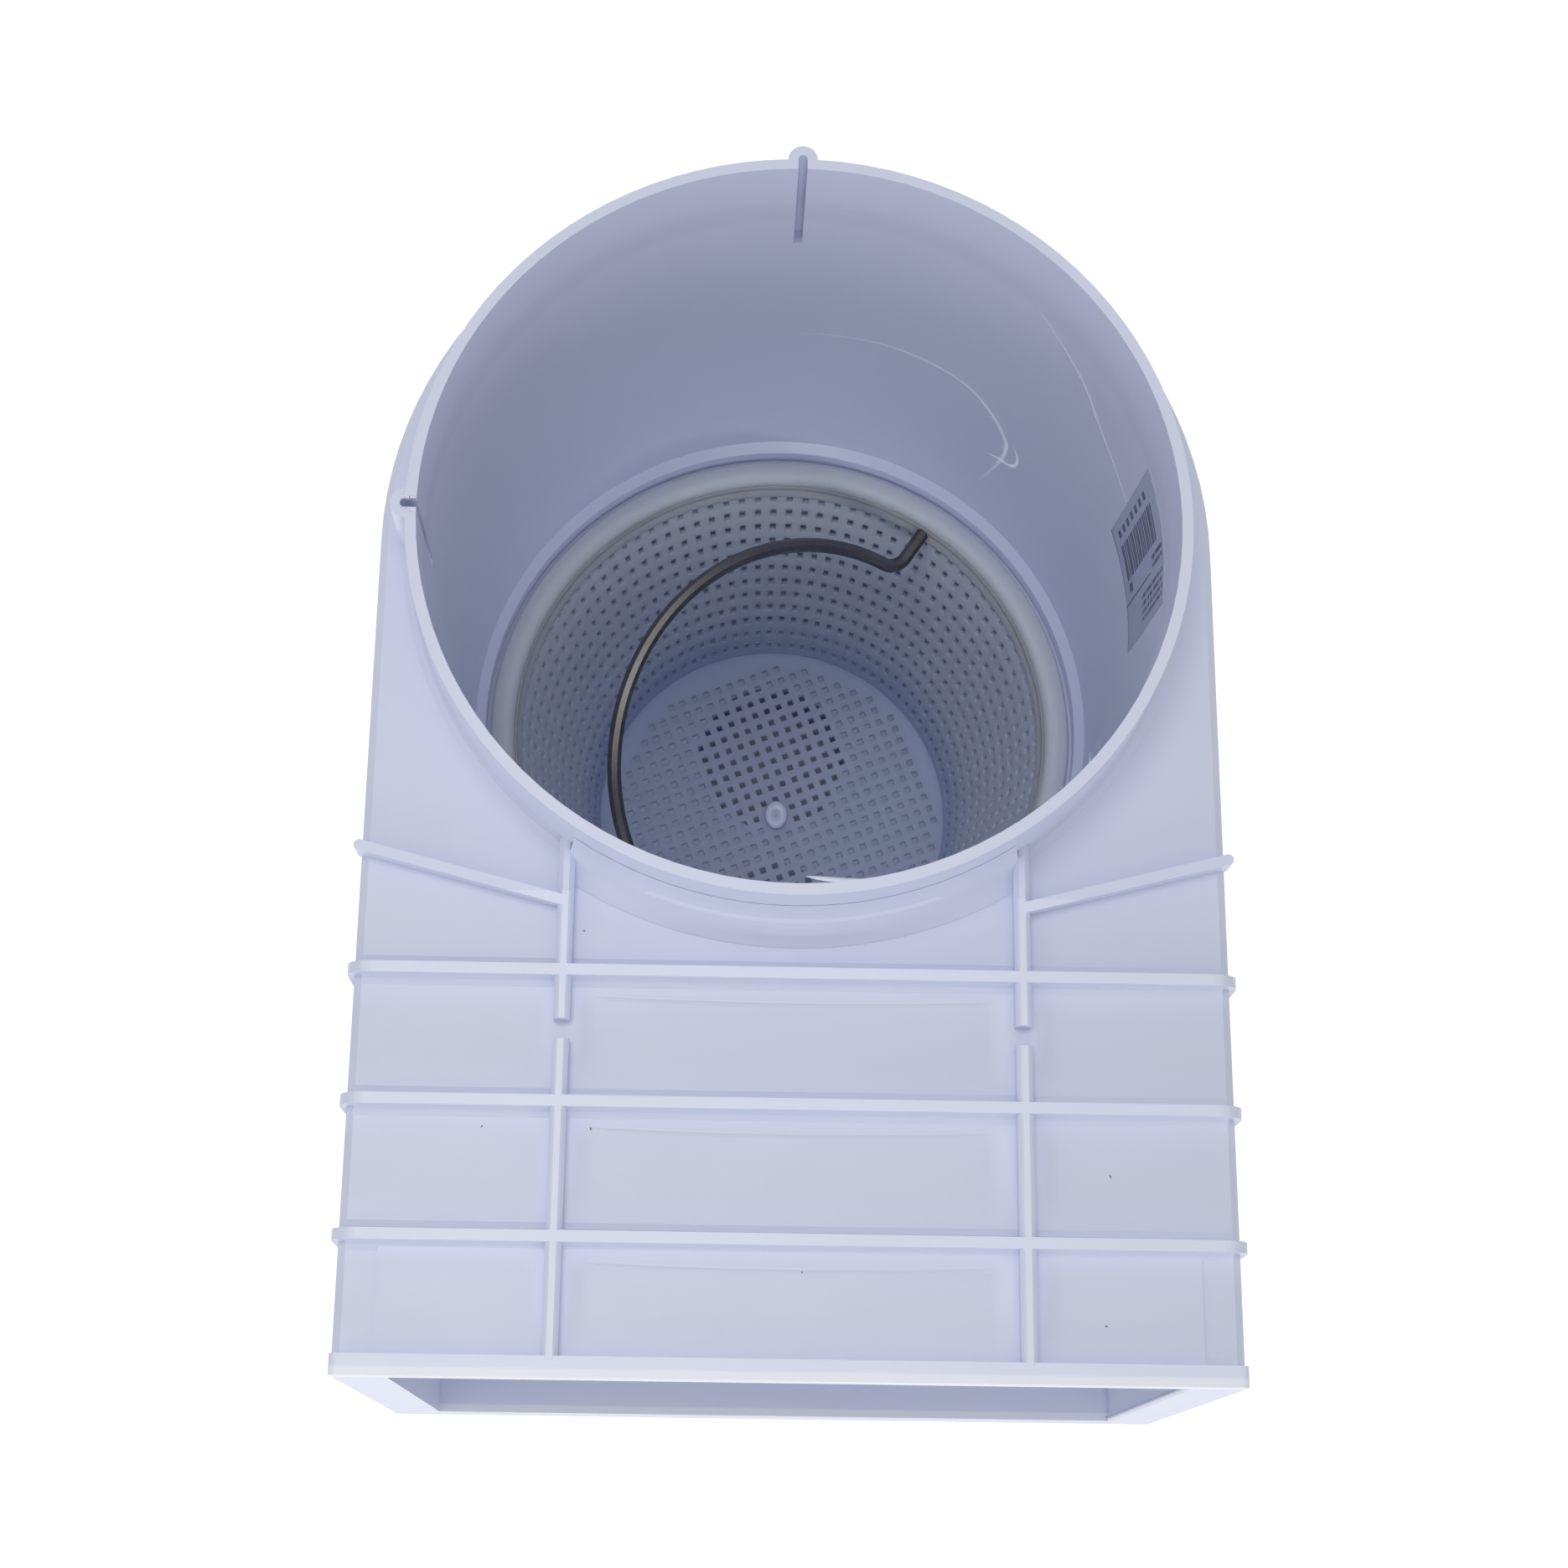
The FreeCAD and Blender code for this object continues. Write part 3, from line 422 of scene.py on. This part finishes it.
def basketPlastic():
    finish = Finish("milkyPlastic")
    cloud = finish.noise(22.0, 4.0, 0.6)
    colour = finish.mix(cloud, basketLook["deep"], basketLook["pale"])
    height = finish.split(finish.place())[2]
    # painted shade: the basket is painted darker towards its floor, deep inside the vessel
    low = 1 - finish.soft(height, basketLook["floor"], basketLook["floor"] + 0.035)
    colour = finish.mix(low, colour, basketLook["low"])
    smear = finish.noise(80.0, 4.0)
    finish.feed(
        Base_Color=colour,
        Roughness=0.42 + smear * 0.15,
        Subsurface_Weight=1.0,
        Subsurface_Radius=(0.010, 0.010, 0.012),
        Subsurface_Scale=1.0,
        IOR=1.46,
    )
    finish.bump(finish.noise(300.0, 2.0), 0.12, 0.0005)
    return finish.material


def sealRubber():
    finish = Finish("sealRubber")
    tone = finish.noise(120.0, 3.0)
    colour = finish.mix(tone, (0.02, 0.02, 0.021), (0.05, 0.05, 0.052))
    finish.feed(Base_Color=colour, Roughness=0.6 + tone * 0.2)
    finish.bump(finish.noise(500.0, 2.0), 0.2, 0.0004)
    return finish.material


def foamWhite():
    finish = Finish("floatFoam")
    cells = finish.node("TexVoronoi", {"feature": "F1"}, {"Vector": finish.place(), "Scale": 420.0})
    tone = finish.noise(60.0, 3.0)
    colour = finish.mix(tone, (0.74, 0.74, 0.74), (0.84, 0.84, 0.83))
    finish.feed(Base_Color=colour, Roughness=0.8 + tone * 0.1)
    finish.bump(cells, 0.4, 0.0008)
    return finish.material


def dress(node, material):
    mesh = nodes[node].data
    mesh.materials.clear()
    mesh.materials.append(material)


def newPiece(name, mesh, material, body):
    piece = bpy.data.objects.new(name, mesh)
    bpy.context.scene.collection.objects.link(piece)
    mesh.materials.append(material)
    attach(piece, body)
    return piece


# strainer basket: a sheet of wall and floor with every opening cut, then thickened
basket = {
    "lipRadius": 96.6,
    "lipWidth": 5.6,
    "lipThick": 3.0,
    "wall": 2.2,
    "height": 112.0,
    "top": -197.0,
    "footRadius": 66.0,
    "shoulder": 0.5,
    "collar": 8.2,
    "columns": 98,
    "rows": 12,
    "firstRow": 8.0,
    "rowPitch": 8.5,
    "openTall": 4.3,
    "openShare": 0.38,
    "floorPitch": 4.75,
    "floorOpen": 2.15,
    "floorTurn": 22.0,
    "floorShift": (1.7, -1.2),
    "gateRadius": 4.15,
    "gateLong": 1.3,
    "gateTall": 1.8,
    "gateShift": (1.5, 0.0),
}


# inside radius of the wall at a depth below the lip's top
def basketWallRadius(depth):
    top = basket["lipRadius"] - basket["lipWidth"] - basket["shoulder"] - basket["wall"]
    foot = basket["footRadius"] - basket["wall"]
    share = (depth - basket["lipThick"]) / (basket["height"] - basket["wall"] - basket["lipThick"])
    return top + (foot - top) * share


def ringPoint(bm, radius, angle, depth):
    place = (radius * math.cos(angle), radius * math.sin(angle), basket["top"] - depth)
    return bm.verts.new(Vector(place) * mm)


# bands of faces round the wall; the open rows leave a window in each column
def basketWallSheet(bm):
    columns = basket["columns"]
    step = 2 * math.pi / columns
    gap = step * basket["openShare"] / 2
    floorDepth = basket["height"] - basket["wall"]
    depths = [(basket["lipThick"], False)]
    for row in range(basket["rows"]):
        start = basket["firstRow"] + row * basket["rowPitch"]
        depths.append((start, True))
        depths.append((start + basket["openTall"], False))
    depths.append((floorDepth, False))
    rings = []
    for depth, opens in depths:
        radius = basketWallRadius(depth)
        ring = []
        for column in range(columns):
            middle = column * step
            ring.append(ringPoint(bm, radius, middle - gap, depth))
            ring.append(ringPoint(bm, radius, middle + gap, depth))
        rings.append(ring)
    count = columns * 2
    for number, (upper, lower) in enumerate(zip(rings, rings[1:])):
        for place in range(count):
            if depths[number][1] and place % 2 == 0:
                continue
            after = (place + 1) % count
            bm.faces.new((upper[place], upper[after], lower[after], lower[place]))
    return rings[0], rings[-1]


# whether this cell of the floor's grid has its square opening
def floorCellOpen(column, row, room):
    pitch, half = basket["floorPitch"], basket["floorOpen"] / 2
    across, along = abs(column + 0.5) * pitch, abs(row + 0.5) * pitch
    inRoom = math.hypot(across + half, along + half) < room
    return inRoom and math.hypot(across, along) > basket["gateRadius"]


# the floor's disc with a turned grid of square openings
def basketFloorSheet(bm, edgeRing):
    turn = Matrix.Rotation(math.radians(basket["floorTurn"]), 2)
    back = turn.inverted()
    shift = Vector(basket["floorShift"])
    pitch = basket["floorPitch"]
    half = basket["floorOpen"] / 2
    depth = basket["height"] - basket["wall"]
    room = basketWallRadius(depth) - 3.4
    points = [Vector((vert.co.x / mm, vert.co.y / mm)) for vert in edgeRing]
    edges = [(place, (place + 1) % len(points)) for place in range(len(points))]
    reach = int(room / pitch) + 1
    for column in range(-reach, reach + 1):
        for row in range(-reach, reach + 1):
            if not floorCellOpen(column, row, room):
                continue
            first = len(points)
            for x, y in ((-half, -half), (half, -half), (half, half), (-half, half)):
                points.append(turn @ Vector(((column + 0.5) * pitch + x, (row + 0.5) * pitch + y)) + shift)
            edges += [(first + side, first + (side + 1) % 4) for side in range(4)]
    result = geometry.delaunay_2d_cdt(points, edges, [], 1, 1e-5)
    spots, faces = result[0], result[2]
    places = list(edgeRing)
    for spot in spots[len(edgeRing):]:
        places.append(bm.verts.new(Vector((spot.x, spot.y, basket["top"] - depth)) * mm))
    for face in faces:
        middle = back @ (sum((spots[corner] for corner in face), Vector((0, 0))) / len(face) - shift)
        column, row = math.floor(middle.x / pitch), math.floor(middle.y / pitch)
        across = abs(middle.x - (column + 0.5) * pitch)
        along = abs(middle.y - (row + 0.5) * pitch)
        if floorCellOpen(column, row, room) and max(across, along) < half:
            continue
        bm.faces.new([places[corner] for corner in face])


def buildBasket(material):
    bm = bmesh.new()
    top, low = basketWallSheet(bm)
    basketFloorSheet(bm, low)
    bmesh.ops.recalc_face_normals(bm, faces=bm.faces)
    mesh = bpy.data.meshes.new("strainerBasket")
    bm.to_mesh(mesh)
    bm.free()
    piece = newPiece("strainerBasket", mesh, material, "body")
    thick = piece.modifiers.new("thick", "SOLIDIFY")
    thick.thickness = basket["wall"] * mm
    thick.offset = 1.0
    thick.use_even_offset = True
    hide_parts("basket")


# the flat lip and the plain collar under it, turned round the axis
def buildBasketLip(material):
    outer, top = basket["lipRadius"], basket["top"]
    inner = outer - basket["lipWidth"]
    low, foot = top - basket["lipThick"], top - basket["collar"]
    wallIn = basketWallRadius(basket["collar"])
    wallOut = basketWallRadius(basket["lipThick"]) + basket["wall"]
    profile = [(wallOut, low), (wallIn + 1.0, foot), (wallIn - 0.5, foot + 0.1), (wallIn - 0.4, foot + 1.0)]
    profile += [(inner - 1.7, top - 1.7), (inner - 0.6, top - 0.5), (inner + 0.8, top - 0.05)]
    profile += [(outer - 0.9, top), (outer - 0.3, top - 0.3), (outer, top - 1.0)]
    profile += [(outer, low + 0.5), (outer - 0.4, low)]
    piece = turned("basketLip", profile, 180, material, "body")
    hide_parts("basket")


# a closed profile of radius and height, turned right round
def turned(name, profile, sides, material, body, centre=(0, 0)):
    bm = bmesh.new()
    rings = []
    for step in range(sides):
        angle = 2 * math.pi * step / sides
        ring = []
        for radius, height in profile:
            place = (centre[0] + radius * math.cos(angle), centre[1] + radius * math.sin(angle), height)
            ring.append(bm.verts.new(Vector(place) * mm))
        rings.append(ring)
    count = len(profile)
    for step in range(sides):
        here, there = rings[step], rings[(step + 1) % sides]
        for place in range(count):
            after = (place + 1) % count
            bm.faces.new((here[place], there[place], there[after], here[after]))
    bmesh.ops.recalc_face_normals(bm, faces=bm.faces)
    mesh = bpy.data.meshes.new(name)
    bm.to_mesh(mesh)
    bm.free()
    for face in mesh.polygons:
        face.use_smooth = True
    return newPiece(name, mesh, material, body)


# neck wall: the places of what lies on its inside, as an angle and a height
neck = {
    "radius": 102.0,
    "lowRadius": 101.0,
    "taperTop": -28.9,
    "taperFoot": -190.0,
}


# a point on the neck's inside, lifted off it towards the axis
def onNeck(angle, height, lift=0.0):
    share = max(0.0, (neck["taperTop"] - height) / (neck["taperTop"] - neck["taperFoot"]))
    radius = neck["radius"] + (neck["lowRadius"] - neck["radius"]) * share - lift
    turn = math.radians(angle)
    return Vector((radius * math.cos(turn), radius * math.sin(turn), height)) * mm


# a grid of points joined into faces, with its own shares as UVs
def sheetMesh(name, rows, uvs=False):
    bm = bmesh.new()
    grid = [[bm.verts.new(place) for place in row] for row in rows]
    layer = bm.loops.layers.uv.new("place") if uvs else None
    high, wide = len(rows) - 1, len(rows[0]) - 1
    for row in range(high):
        for column in range(wide):
            corners = [(row, column), (row, column + 1), (row + 1, column + 1), (row + 1, column)]
            face = bm.faces.new([grid[r][c] for r, c in corners])
            face.smooth = True
            if uvs:
                for loop, (r, c) in zip(face.loops, corners):
                    loop[layer].uv = (c / wide, r / high)
    mesh = bpy.data.meshes.new(name)
    bm.to_mesh(mesh)
    bm.free()
    return mesh


# plain label stuck inside the neck on the right, printed with bars and blocks only
label = {
    "corners": [(15.1, -29.0), (17.9, -90.0), (-3.4, -95.4), (-7.7, -29.2)],
    "lift": 0.12,
    "cells": 28,
    "paper": (0.40, 0.45, 0.60),
    "wearAndPaintedLight": (0.46, 0.51, 0.66),
    "ink": (0.05, 0.06, 0.10),
}


def labelPaper():
    finish = Finish("greyLabel")
    x, y = finish.split(finish.node("TexCoord", out=2))[:2]

    def inside(value, low, high):
        return (value > low) * (value < high)

    bars = ((x * 26).fract() < 0.55).larger((x * 17 + 0.3).fract() < 0.33)
    marks = bars * inside(x, 0.14, 0.90) * inside(y, 0.19, 0.47)
    cell = finish.node("CombineXYZ", None, {"X": x * 34, "Y": (y * 17).floor()})
    dashes = finish.noise(1.0, 0.0, 0.5, cell)
    rows = (dashes > 0.44) * ((y * 17).fract() < 0.58)
    marks = marks.larger(rows * inside(x, 0.06, 0.60) * inside(y, 0.70, 0.94))
    marks = marks.larger(rows * inside(x, 0.05, 0.30) * inside(y, 0.52, 0.62))
    marks = marks.larger(inside(x, 0.80, 0.88) * inside(y, 0.50, 0.57))
    marks = marks.larger(inside(x, 0.36, 1.0) * inside(y, 0.625, 0.64))
    marks = marks.larger(inside(x, 0.16, 0.88) * inside(y, 0.075, 0.135) * ((x * 9.7).fract() < 0.5))
    fade = finish.noise(120.0, 3.0)
    paper = finish.mix(fade, label["paper"], label["wearAndPaintedLight"])
    ink = marks * (0.72 + fade * 0.25)
    finish.feed(Base_Color=finish.mix(ink, paper, label["ink"]), Roughness=0.42 + fade * 0.1)
    finish.bump(finish.noise(260.0, 2.0), 0.15, 0.0003)
    return finish.material


def buildLabel():
    first, second, third, fourth = label["corners"]
    cells = label["cells"]
    rows = []
    for row in range(cells + 1):
        down = row / cells
        places = []
        for column in range(cells + 1):
            across = column / cells
            top = [first[axis] + (second[axis] - first[axis]) * across for axis in (0, 1)]
            low = [fourth[axis] + (third[axis] - fourth[axis]) * across for axis in (0, 1)]
            angle, height = [top[axis] + (low[axis] - top[axis]) * down for axis in (0, 1)]
            places.append(onNeck(angle, height, label["lift"]))
        rows.append(places)
    piece = newPiece("neckLabel", sheetMesh("neckLabel", rows, True), labelPaper(), "body")
    thick = piece.modifiers.new("thick", "SOLIDIFY")
    thick.thickness = label["lift"] * mm


# painted reflections on the inside of the neck, drawn as pale streaks: angle, height, width and strength
# along each
streaks = {
    "lift": 0.3,
    "longArc": [
        (96.0, -104.5, 1.5, 0.0), (81.7, -103.3, 2.0, 0.20), (72.6, -102.3, 2.2, 0.32),
        (64.6, -103.0, 2.4, 0.50), (56.9, -105.3, 2.6, 0.55), (50.9, -113.2, 2.8, 0.70),
        (47.2, -122.8, 2.8, 0.85), (46.6, -130.0, 2.4, 0.80), (47.0, -137.8, 2.2, 0.6),
        (48.6, -152.0, 2.0, 0.30), (50.8, -167.8, 1.5, 0.0),
    ],
    "hook": [
        (50.5, -141.5, 1.2, 0.0), (47.6, -138.4, 2.0, 0.9), (45.2, -137.0, 2.6, 1.0),
        (43.9, -133.5, 2.0, 1.0), (43.6, -128.6, 1.9, 1.0), (44.6, -123.5, 1.5, 0.5),
        (46.4, -121.0, 1.0, 0.0),
    ],
    "sideArc": [
        (48.5, -28.9, 1.2, 0.0), (44.5, -33.8, 1.6, 0.35), (38.9, -40.0, 2.0, 0.5), (33.6, -46.3, 2.4, 0.55),
        (30.2, -52.5, 2.2, 0.65), (25.1, -58.1, 2.2, 0.60), (16.8, -63.0, 1.8, 0.3),
    ],
    "slotMark": [(-179.2, -27.3, 1.0, 0.0), (-179.1, -36.6, 1.6, 0.7), (-179.0, -46.1, 1.0, 0.0)],
    "steps": 8,
    "colour": (0.97, 0.98, 1.0),
    "shine": (0.80, 0.85, 1.0),
    "shineStrength": 0.16,
}


def streakPlastic():
    finish = Finish("paintedReflectionPlastic")
    across = finish.split(finish.node("TexCoord", out=2))[0]
    tone = finish.noise(140.0, 3.0)
    middle = 1 - finish.soft(abs(across - 0.5), 0.08, 0.46)
    strength = finish.node("Attribute", {"attribute_name": "strength"}, out=2)
    shown = middle * strength * (0.7 + tone * 0.5)
    colour = finish.mix(tone, shellLook["crest"], streaks["colour"])
    finish.feed(Base_Color=colour, Roughness=0.15 + tone * 0.2)
    # a faint glow on the pale streaks adds to the painted reflection
    finish.feed(Alpha=shown, Emission_Color=streaks["shine"], Emission_Strength=streaks["shineStrength"])
    return finish.material


# more points along a run, eased through the given ones
def smoothRun(points, steps):
    spots = [Vector(point) for point in points]
    run = []
    for number in range(len(spots) - 1):
        before = spots[max(number - 1, 0)]
        start, stop = spots[number], spots[number + 1]
        after = spots[min(number + 2, len(spots) - 1)]
        for step in range(steps):
            t = step / steps
            first = (stop - before) * 0.5
            last = (after - start) * 0.5
            ease = start * (2 * t ** 3 - 3 * t ** 2 + 1) + stop * (3 * t ** 2 - 2 * t ** 3)
            run.append(ease + first * (t ** 3 - 2 * t ** 2 + t) + last * (t ** 3 - t ** 2))
    run.append(spots[-1])
    return run


def buildStreak(name, points, material):
    run = smoothRun(points, streaks["steps"])
    degree = math.degrees(1 / neck["radius"])  # one millimetre round the wall
    rows = []
    for number, spot in enumerate(run):
        ahead = run[min(number + 1, len(run) - 1)] - run[max(number - 1, 0)]
        way = Vector((ahead[0] / degree, ahead[1])).normalized()
        half = spot.z / 2
        places = []
        for share in (-1.0, -0.5, 0.0, 0.5, 1.0):
            angle = spot.x - way.y * half * share * degree
            height = spot.y + way.x * half * share
            places.append(onNeck(angle, height, streaks["lift"]))
        rows.append(places)
    mesh = sheetMesh(name, rows, True)
    strength = mesh.attributes.new("strength", "FLOAT", "POINT")
    for number, spot in enumerate(run):
        for side in range(5):
            strength.data[number * 5 + side].value = spot.w
    newPiece(name, mesh, material, "body")


# trimming flash left on the rim and down the right edge of the mouth
flash = {
    # distance along the rim, how far the sliver's two edges reach over it
    "sliver": [
        (21.0, -0.5, -0.35), (17.0, -0.6, 0.1), (13.0, -0.5, 0.8), (10.0, -0.1, 1.3), (7.0, 0.5, 1.7),
        (5.0, 1.0, 1.9), (3.4, 1.5, 2.0), (2.4, 1.85, 1.95),
    ],
    "sliverThick": 0.4,
    "mouthSide": 100.2,
    "mouthFront": -223.2,
    "mouthTop": -29.2,
    "mouthFoot": -171.4,
    "edgeSteps": 90,
    "edgeWide": 1.3,
}


# a shaved sliver that overhangs the rim's inner edge at the front
def buildRimFlash(material):
    rim, thick = neck["radius"], flash["sliverThick"]
    rows = []
    for along, outerOver, innerOver in flash["sliver"]:
        angle = -math.pi / 2 + along / rim
        out = Vector((math.cos(angle), math.sin(angle), 0))
        middle = (outerOver + innerOver) / 2
        ring = [(outerOver, -0.12), (middle, -0.02), (innerOver, -0.12), (innerOver - 0.05, -thick)]
        ring += [(outerOver, -thick), (outerOver, -0.12)]
        rows.append([(out * (rim - over) + Vector((0, 0, height))) * mm for over, height in ring])
    newPiece("rimFlash", sheetMesh("rimFlash", rows), material, "body")


# a ragged lip of plastic down the mouth's right inner edge
def buildMouthFlash(material):
    dice = random.Random(7)
    top, foot = flash["mouthTop"], flash["mouthFoot"]
    rows = []
    wander = 0.0
    for step in range(flash["edgeSteps"] + 1):
        share = step / flash["edgeSteps"]
        wander = wander * 0.8 + dice.uniform(-0.35, 0.35)
        wide = max(0.25, flash["edgeWide"] * (0.55 + 0.45 * math.sin(math.pi * share)) + wander)
        height = top + (foot - top) * share
        side, front = flash["mouthSide"], flash["mouthFront"]
        inwards = 0.35 + dice.uniform(0.0, 0.3)
        ring = [(side + wide, front + 0.3), (side + wide * 0.6, front), (side - inwards, front + 0.02)]
        ring += [(side - inwards - 0.1, front + 0.9), (side + 0.1, front + 1.6)]
        rows.append([Vector((x, y, height)) * mm for x, y in ring])
    newPiece("mouthFlash", sheetMesh("mouthFlash", rows), material, "body")


# the wide sweep between the neck's foot and the top plate, from one long rib to the other
neckSweep = {
    "profile": [
        (105.05, -12.0), (105.6, -16.5), (106.8, -20.0), (108.8, -22.9), (111.2, -24.6), (112.4, -24.9),
        (113.2, -25.3),
    ],
    "halfTurn": 33.4,
    "steps": 60,
}


def buildNeckSweep(material):
    rows = []
    for step in range(neckSweep["steps"] + 1):
        share = 2 * step / neckSweep["steps"] - 1
        angle = math.radians(-90 + neckSweep["halfTurn"] * share)
        out = Vector((math.cos(angle), math.sin(angle), 0))
        rows.append([(out * reach + Vector((0, 0, height))) * mm for reach, height in neckSweep["profile"]])
    newPiece("neckSweep", sheetMesh("neckSweep", rows), material, "body")


# dark bits moulded into the top plate: place and size
specks = {
    "plateTop": -25.4,
    "places": [
        (-79.2, -160.9, 0.9), (-54.8, -109.5, 0.8), (-51.4, -161.1, 1.0), (81.5, -171.1, 1.0),
        (79.4, -208.5, 0.9), (2.9, -196.4, 0.6),
    ],
    "panelLift": 0.5,
    "panelFront": -188.7,
}


def speckDirt():
    finish = Finish("darkBit")
    tone = finish.noise(2500.0, 2.0)
    colour = finish.mix(tone, (0.10, 0.09, 0.10), (0.30, 0.28, 0.33))
    finish.feed(Base_Color=colour, Roughness=0.7 + tone * 0.1)
    return finish.material


def buildSpecks(material):
    dice = random.Random(3)
    bm = bmesh.new()
    for x, y, size in specks["places"]:
        lift = specks["panelLift"] if y < specks["panelFront"] else 0.0
        level = specks["plateTop"] + lift + 0.03
        turn = dice.uniform(0, math.pi)
        ring = []
        for side in range(9):
            angle = 2 * math.pi * side / 9
            reach = size / 2 * dice.uniform(0.7, 1.1)
            spot = Vector((reach * math.cos(angle), reach * 0.5 * math.sin(angle)))
            spot.rotate(Matrix.Rotation(turn, 2))
            ring.append(bm.verts.new(Vector((x + spot.x, y + spot.y, level)) * mm))
        peak = bm.verts.new(Vector((x, y, level + 0.08)) * mm)
        for side in range(9):
            bm.faces.new((ring[side], ring[(side + 1) % 9], peak))
    mesh = bpy.data.meshes.new("plateSpecks")
    bm.to_mesh(mesh)
    bm.free()
    newPiece("plateSpecks", mesh, material, "body")


# pipe threads cut inside the two ports, as seen from below
threads = {
    "suction": (28.35, (0.0, 30.0), -361.5, 13),
    "spare": (22.4, (0.0, -40.0), -358.0, 4),
    "pitch": 2.2,
    "deep": 1.0,
}


def buildThread(name, material):
    radius, centre, low, turns = threads[name]
    pitch, deep = threads["pitch"], threads["deep"]
    profile = [(radius + 0.4, low)]
    for turn in range(turns):
        profile.append((radius - 0.05, low + turn * pitch))
        profile.append((radius - deep, low + (turn + 0.5) * pitch))
    profile.append((radius - 0.05, low + turns * pitch))
    profile.append((radius + 0.4, low + turns * pitch))
    turned(name + "Thread", profile, 96, material, "body", centre)


# the oval gate mark in the middle of the basket's floor
def buildGate(material):
    level = basket["top"] - basket["height"] + basket["wall"]
    radius, peak = basket["gateRadius"], level + basket["gateTall"]
    profile = [(0.05, level - 0.5), (radius, level - 0.5), (radius - 0.1, peak - 0.6)]
    profile += [(radius - 0.5, peak - 0.1), (radius - 1.3, peak), (0.05, peak)]
    piece = turned("basketGate", profile, 48, material, "body")
    across, along = basket["gateShift"]
    for vert in piece.data.vertices:
        vert.co.x += across * mm
        vert.co.y = vert.co.y * basket["gateLong"] + along * mm


addCamera()
addStudio()
addFloor()
print("camera, lamps and floor done")

shell = shellPlastic("mouldedShell")
dress("skimmer_body", shell)
dress("weir_flap", shellPlastic("weirPlastic", wearAndPaintedLight=False))
dress("port_plug", shellPlastic("plugPlastic", wearAndPaintedLight=False))
dress("plug_seal", sealRubber())
dress("weir_float", foamWhite())
dress("basket_handle", wireSteel())
print("materials done")

milky = basketPlastic()
buildBasket(milky)
buildBasketLip(milky)
buildGate(shellPlastic("gatePlastic", wearAndPaintedLight=False))
print("basket done")

buildLabel()
paintedReflections = streakPlastic()
for mark in ("longArc", "hook", "sideArc", "slotMark"):
    buildStreak(mark + "Streak", streaks[mark], paintedReflections)
trimmed = shellPlastic("trimmedPlastic", wearAndPaintedLight=False)
buildNeckSweep(shell)
buildRimFlash(trimmed)
buildMouthFlash(trimmed)
buildSpecks(speckDirt())
buildThread("suction", trimmed)
buildThread("spare", trimmed)
print("label, marks, flash and threads done")
